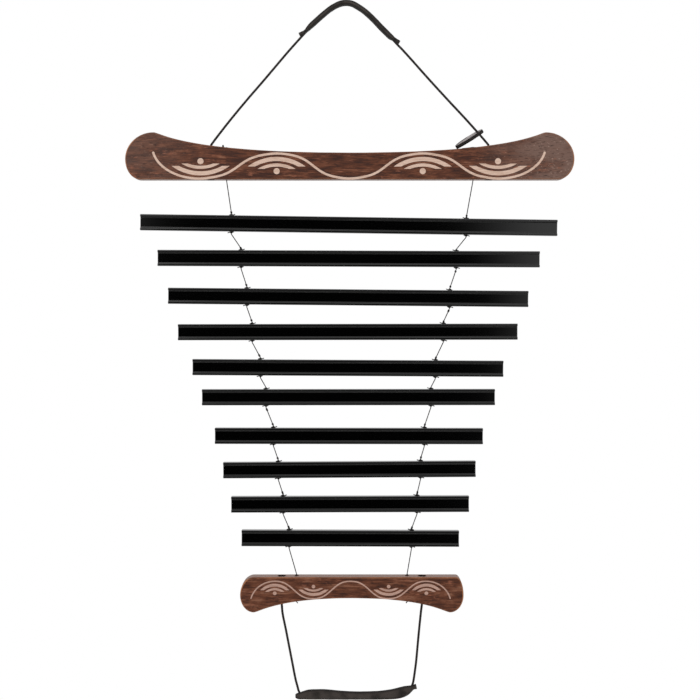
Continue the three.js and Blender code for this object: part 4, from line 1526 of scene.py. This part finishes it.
# %% Materials: ribbed elastic and the pale grey of its inner face
def elastic(name, colour, dark_colour, patch_size):
    material, tree = new_material(name)
    patches = noise_pattern(tree, (patch_size, patch_size, patch_size), 3.0)
    yarns = noise_pattern(tree, (0.6, 0.6, 0.6), 3.0)
    tone = add_node(tree, "ValToRGB", {"Fac": patches}, stops=[(0.4, dark_colour), (0.55, colour)])
    surface(tree, {
        "Base Color": tone.outputs[0], "Roughness": 0.8, "Specular IOR Level": 0.2,
        "Sheen Weight": 0.06, "Normal": relief(tree, (yarns, 0.6, 0.2)),
    })
    return material


RIBBED_ELASTIC = elastic("ribbed_elastic", "#2a2523", "#151211", 2)
PALE_INNER_FACE = elastic("pale_inner_face", "#c9c4c4", "#b3adac", 4)
print("made", RIBBED_ELASTIC.name, "and", PALE_INNER_FACE.name)

# %% The band's loop
BAND_HALF_LENGTH = 21.3
BAND_NEAR_BULGE = 4
BAND_FAR_BULGE = 6.5
BAND_WIDTH = 4.8
BAND_THICKNESS = 0.9
BAND_RISE = math.radians(32)
BAND_ROLL = math.radians(24)
BAND_INSET = 25.4
BAND_REST_GAP = 0.8
RIB_PITCH = 1.5
RIB_STEPS = 6
RIB_DEPTH = 0.25
RIB_NARROWING = 0.3
LOOP_STEPS = 720
# The strap's section as shares of (thickness, half width), from its outer to its inner face.
BAND_SECTION = [(0, -0.9), (0.25, -1), (0.75, -1), (1, -0.9), (1, 0.7), (0.75, 1), (0.25, 1), (0, 0.9)]

band_along = Vector((math.cos(BAND_RISE), 0, math.sin(BAND_RISE)))
band_upright = Vector((-math.sin(BAND_RISE), 0, math.cos(BAND_RISE)))
band_across = Vector((0, math.cos(BAND_ROLL), 0)) + band_upright * math.sin(BAND_ROLL)
band_widthwise = Vector((0, -math.sin(BAND_ROLL), 0)) + band_upright * math.cos(BAND_ROLL)


def band_middle():
    """The loop's middle: its lower tip just clears the board's edge."""
    x = UPPER_BOARD["cord_span"] / 2 - BAND_INSET
    lowest_corner = BAND_WIDTH / 2 * math.cos(BAND_ROLL) * band_along.x + BAND_THICKNESS / 2 * band_along.z
    tip = upper_top(x - BAND_HALF_LENGTH * band_along.x) + BAND_REST_GAP + lowest_corner
    return Vector((x, 0, tip + BAND_HALF_LENGTH * band_along.z))


def band_point(turn, inset):
    """The point of the loop at this turn, `inset` millimetres in from its outer face."""
    bulge = BAND_NEAR_BULGE if math.sin(turn) < 0 else BAND_FAR_BULGE
    along = band_along * (BAND_HALF_LENGTH - inset) * math.cos(turn)
    return band_middle() + along + band_across * (bulge - inset) * math.sin(turn)


def band_loop():
    """Points and faces of the loop, with its ribs evenly spaced along its outer face."""
    turns = [math.tau * step / LOOP_STEPS for step in range(LOOP_STEPS + 1)]
    lengths = [0]
    for start, end in zip(turns, turns[1:]):
        lengths.append(lengths[-1] + (band_point(end, 0) - band_point(start, 0)).length)
    rings = round(lengths[-1] / RIB_PITCH) * RIB_STEPS
    points = []
    step = 0
    for ring in range(rings):
        while lengths[step + 1] < lengths[-1] * ring / rings:
            step += 1
        rib = RIB_DEPTH * (0.5 - 0.5 * math.cos(math.tau * ring / RIB_STEPS))
        for deep, side in BAND_SECTION:
            inset = BAND_THICKNESS * deep + rib * (1 - deep)
            sideways = band_widthwise * side * (BAND_WIDTH / 2 - RIB_NARROWING * rib)
            points.append(band_point(turns[step], inset) + sideways)
    return points, ring_faces(rings, len(BAND_SECTION), closed_along=True)


print("the strap's section has", len(BAND_SECTION), "sides")

# %% The band, its pale inner face and one pale edge
PALE_SIDE = 3
PALE_EDGE_SIDE = 4
PALE_EDGE_SHARE = 0.27

band = mesh_piece("elastic_band", *band_loop(), RIBBED_ELASTIC)
band.data.materials.append(PALE_INNER_FACE)
for face in band.data.polygons:
    side = face.index % len(BAND_SECTION)
    # The inner face, and one edge along about a quarter of the loop, are pale grey.
    worn = side == PALE_EDGE_SIDE and face.index < PALE_EDGE_SHARE * len(band.data.polygons)
    if side == PALE_SIDE or worn:
        face.material_index = 1
attach(band, "beater_band", "elastic", "beater_band")
print("elastic band:", len(band.data.polygons), "faces")

# %% [markdown]
# ## The studio
#
# The chime hangs in front of plain white, with a pale floor well below it. Camera, mirror and glass
# rays see pure white, while the light that falls on the object is softer, so a colour renders about
# as it is written. The room behind the camera is dark: gloss black lacquer facing the camera
# reflects that dark part, which is why the bars' flat faces look black, and only their roundings
# catch the white. A soft edge to the dark part lets the bars' far ends brighten, as they really do,
# and the dark part reaches further down than up, so that the lowest bars mirror it too.

# %% World
SKY_LIGHT = 0.72
DARK_ROOM_TURN = (-1.8, -1)
DARK_ROOM_EDGE = (8, 12)
DARK_ROOM_DROP = 2.4


def dark_room_direction():
    turn, rise = (math.radians(angle) for angle in DARK_ROOM_TURN)
    return Vector((math.sin(turn) * math.cos(rise), -math.cos(turn) * math.cos(rise), math.sin(rise)))


def lit_room(tree):
    """Zero towards the dark part of the room and one elsewhere, with a soft edge."""
    looking = add_node(tree, "TexCoord")
    axes = add_node(tree, "SeparateXYZ", {"Vector": looking.outputs["Generated"]}).outputs
    below = add_node(tree, "Math", {0: axes["Z"], 1: -dark_room_direction().z}, operation="ADD")
    only_below = add_node(tree, "Math", {0: below.outputs[0], 1: 0.0}, operation="MINIMUM")
    lifted = add_node(tree, "Math", {
        0: only_below.outputs[0], 1: 1 / DARK_ROOM_DROP - 1, 2: axes["Z"],
    }, operation="MULTIPLY_ADD")
    squeezed = add_node(tree, "CombineXYZ", {"X": axes["X"], "Y": axes["Y"], "Z": lifted.outputs[0]})
    direction = add_node(tree, "VectorMath", {0: squeezed.outputs[0]}, operation="NORMALIZE")
    facing = add_node(tree, "VectorMath", {
        0: direction.outputs[0], 1: dark_room_direction(),
    }, operation="DOT_PRODUCT")
    edge = [math.cos(math.radians(angle)) for angle in DARK_ROOM_EDGE]
    return soft_mask(tree, facing.outputs["Value"], *edge)


world = bpy.data.worlds.new("studio")
bpy.context.scene.world = world
world.use_nodes = True
tree = world.node_tree
tree.nodes.clear()
rays = add_node(tree, "LightPath").outputs
mirror_room = add_node(tree, "Mix", {
    "Factor": rays["Is Glossy Ray"], "A": 1.0, "B": lit_room(tree),
}, data_type="FLOAT")
seen = rays["Is Camera Ray"]
for kind in ("Is Glossy Ray", "Is Transmission Ray"):
    seen = add_node(tree, "Math", {0: seen, 1: rays[kind]}, operation="MAXIMUM").outputs[0]
strength = add_node(tree, "Mix", {
    "Factor": seen, "A": SKY_LIGHT, "B": mirror_room.outputs["Result"],
}, data_type="FLOAT")
background = add_node(tree, "Background", {
    "Color": (1, 1, 1, 1), "Strength": strength.outputs["Result"],
})
add_node(tree, "OutputWorld", {"Surface": background.outputs[0]})
bpy.context.scene.view_settings.view_transform = "Standard"
print("the sky lights the chime at", SKY_LIGHT, "of white")

# %% Floor
FLOOR_HEIGHT = -1300
FLOOR_RADIUS = 1000
FLOOR_SIDES = 96


def pale_floor():
    material, tree = new_material("pale_floor")
    mottle = noise_pattern(tree, (60, 60, 60), 4.0)
    tone = add_node(tree, "ValToRGB", {"Fac": mottle}, stops=[(0.3, "#eeedeb"), (0.7, "#f4f3f1")])
    surface(tree, {"Base Color": tone.outputs[0], "Roughness": 0.8})
    return material


rim = [(x, y, FLOOR_HEIGHT) for x, y in circle(FLOOR_RADIUS, FLOOR_SIDES)]
floor = mesh_piece("floor", rim, [tuple(range(FLOOR_SIDES))], pale_floor())
print("the floor lies", -FLOOR_HEIGHT, "mm below the hook")

# %% Lamps
# Each lamp's place, the point that it looks at, its size and its power in watts.
LAMPS = {
    "key_lamp": ((-900, -1500, 500), (0, 0, -450), 900, 9),
    "fill_lamp": ((1100, -1300, -100), (0, 0, -450), 900, 4),
    "top_lamp": ((0, -200, 1100), (0, 0, -300), 1200, 6),
}
for name, (place, target, size, power) in LAMPS.items():
    lamp_data = bpy.data.lights.new(name, "AREA")
    lamp_data.shape = "SQUARE"
    lamp_data.size = size * MM
    lamp_data.energy = power
    lamp = bpy.data.objects.new(name, lamp_data)
    lamp.location = Vector(place) * MM
    lamp.rotation_euler = (Vector(target) - Vector(place)).to_track_quat("-Z", "Y").to_euler()
    bpy.context.scene.collection.objects.link(lamp)
print("lamps:", list(LAMPS))
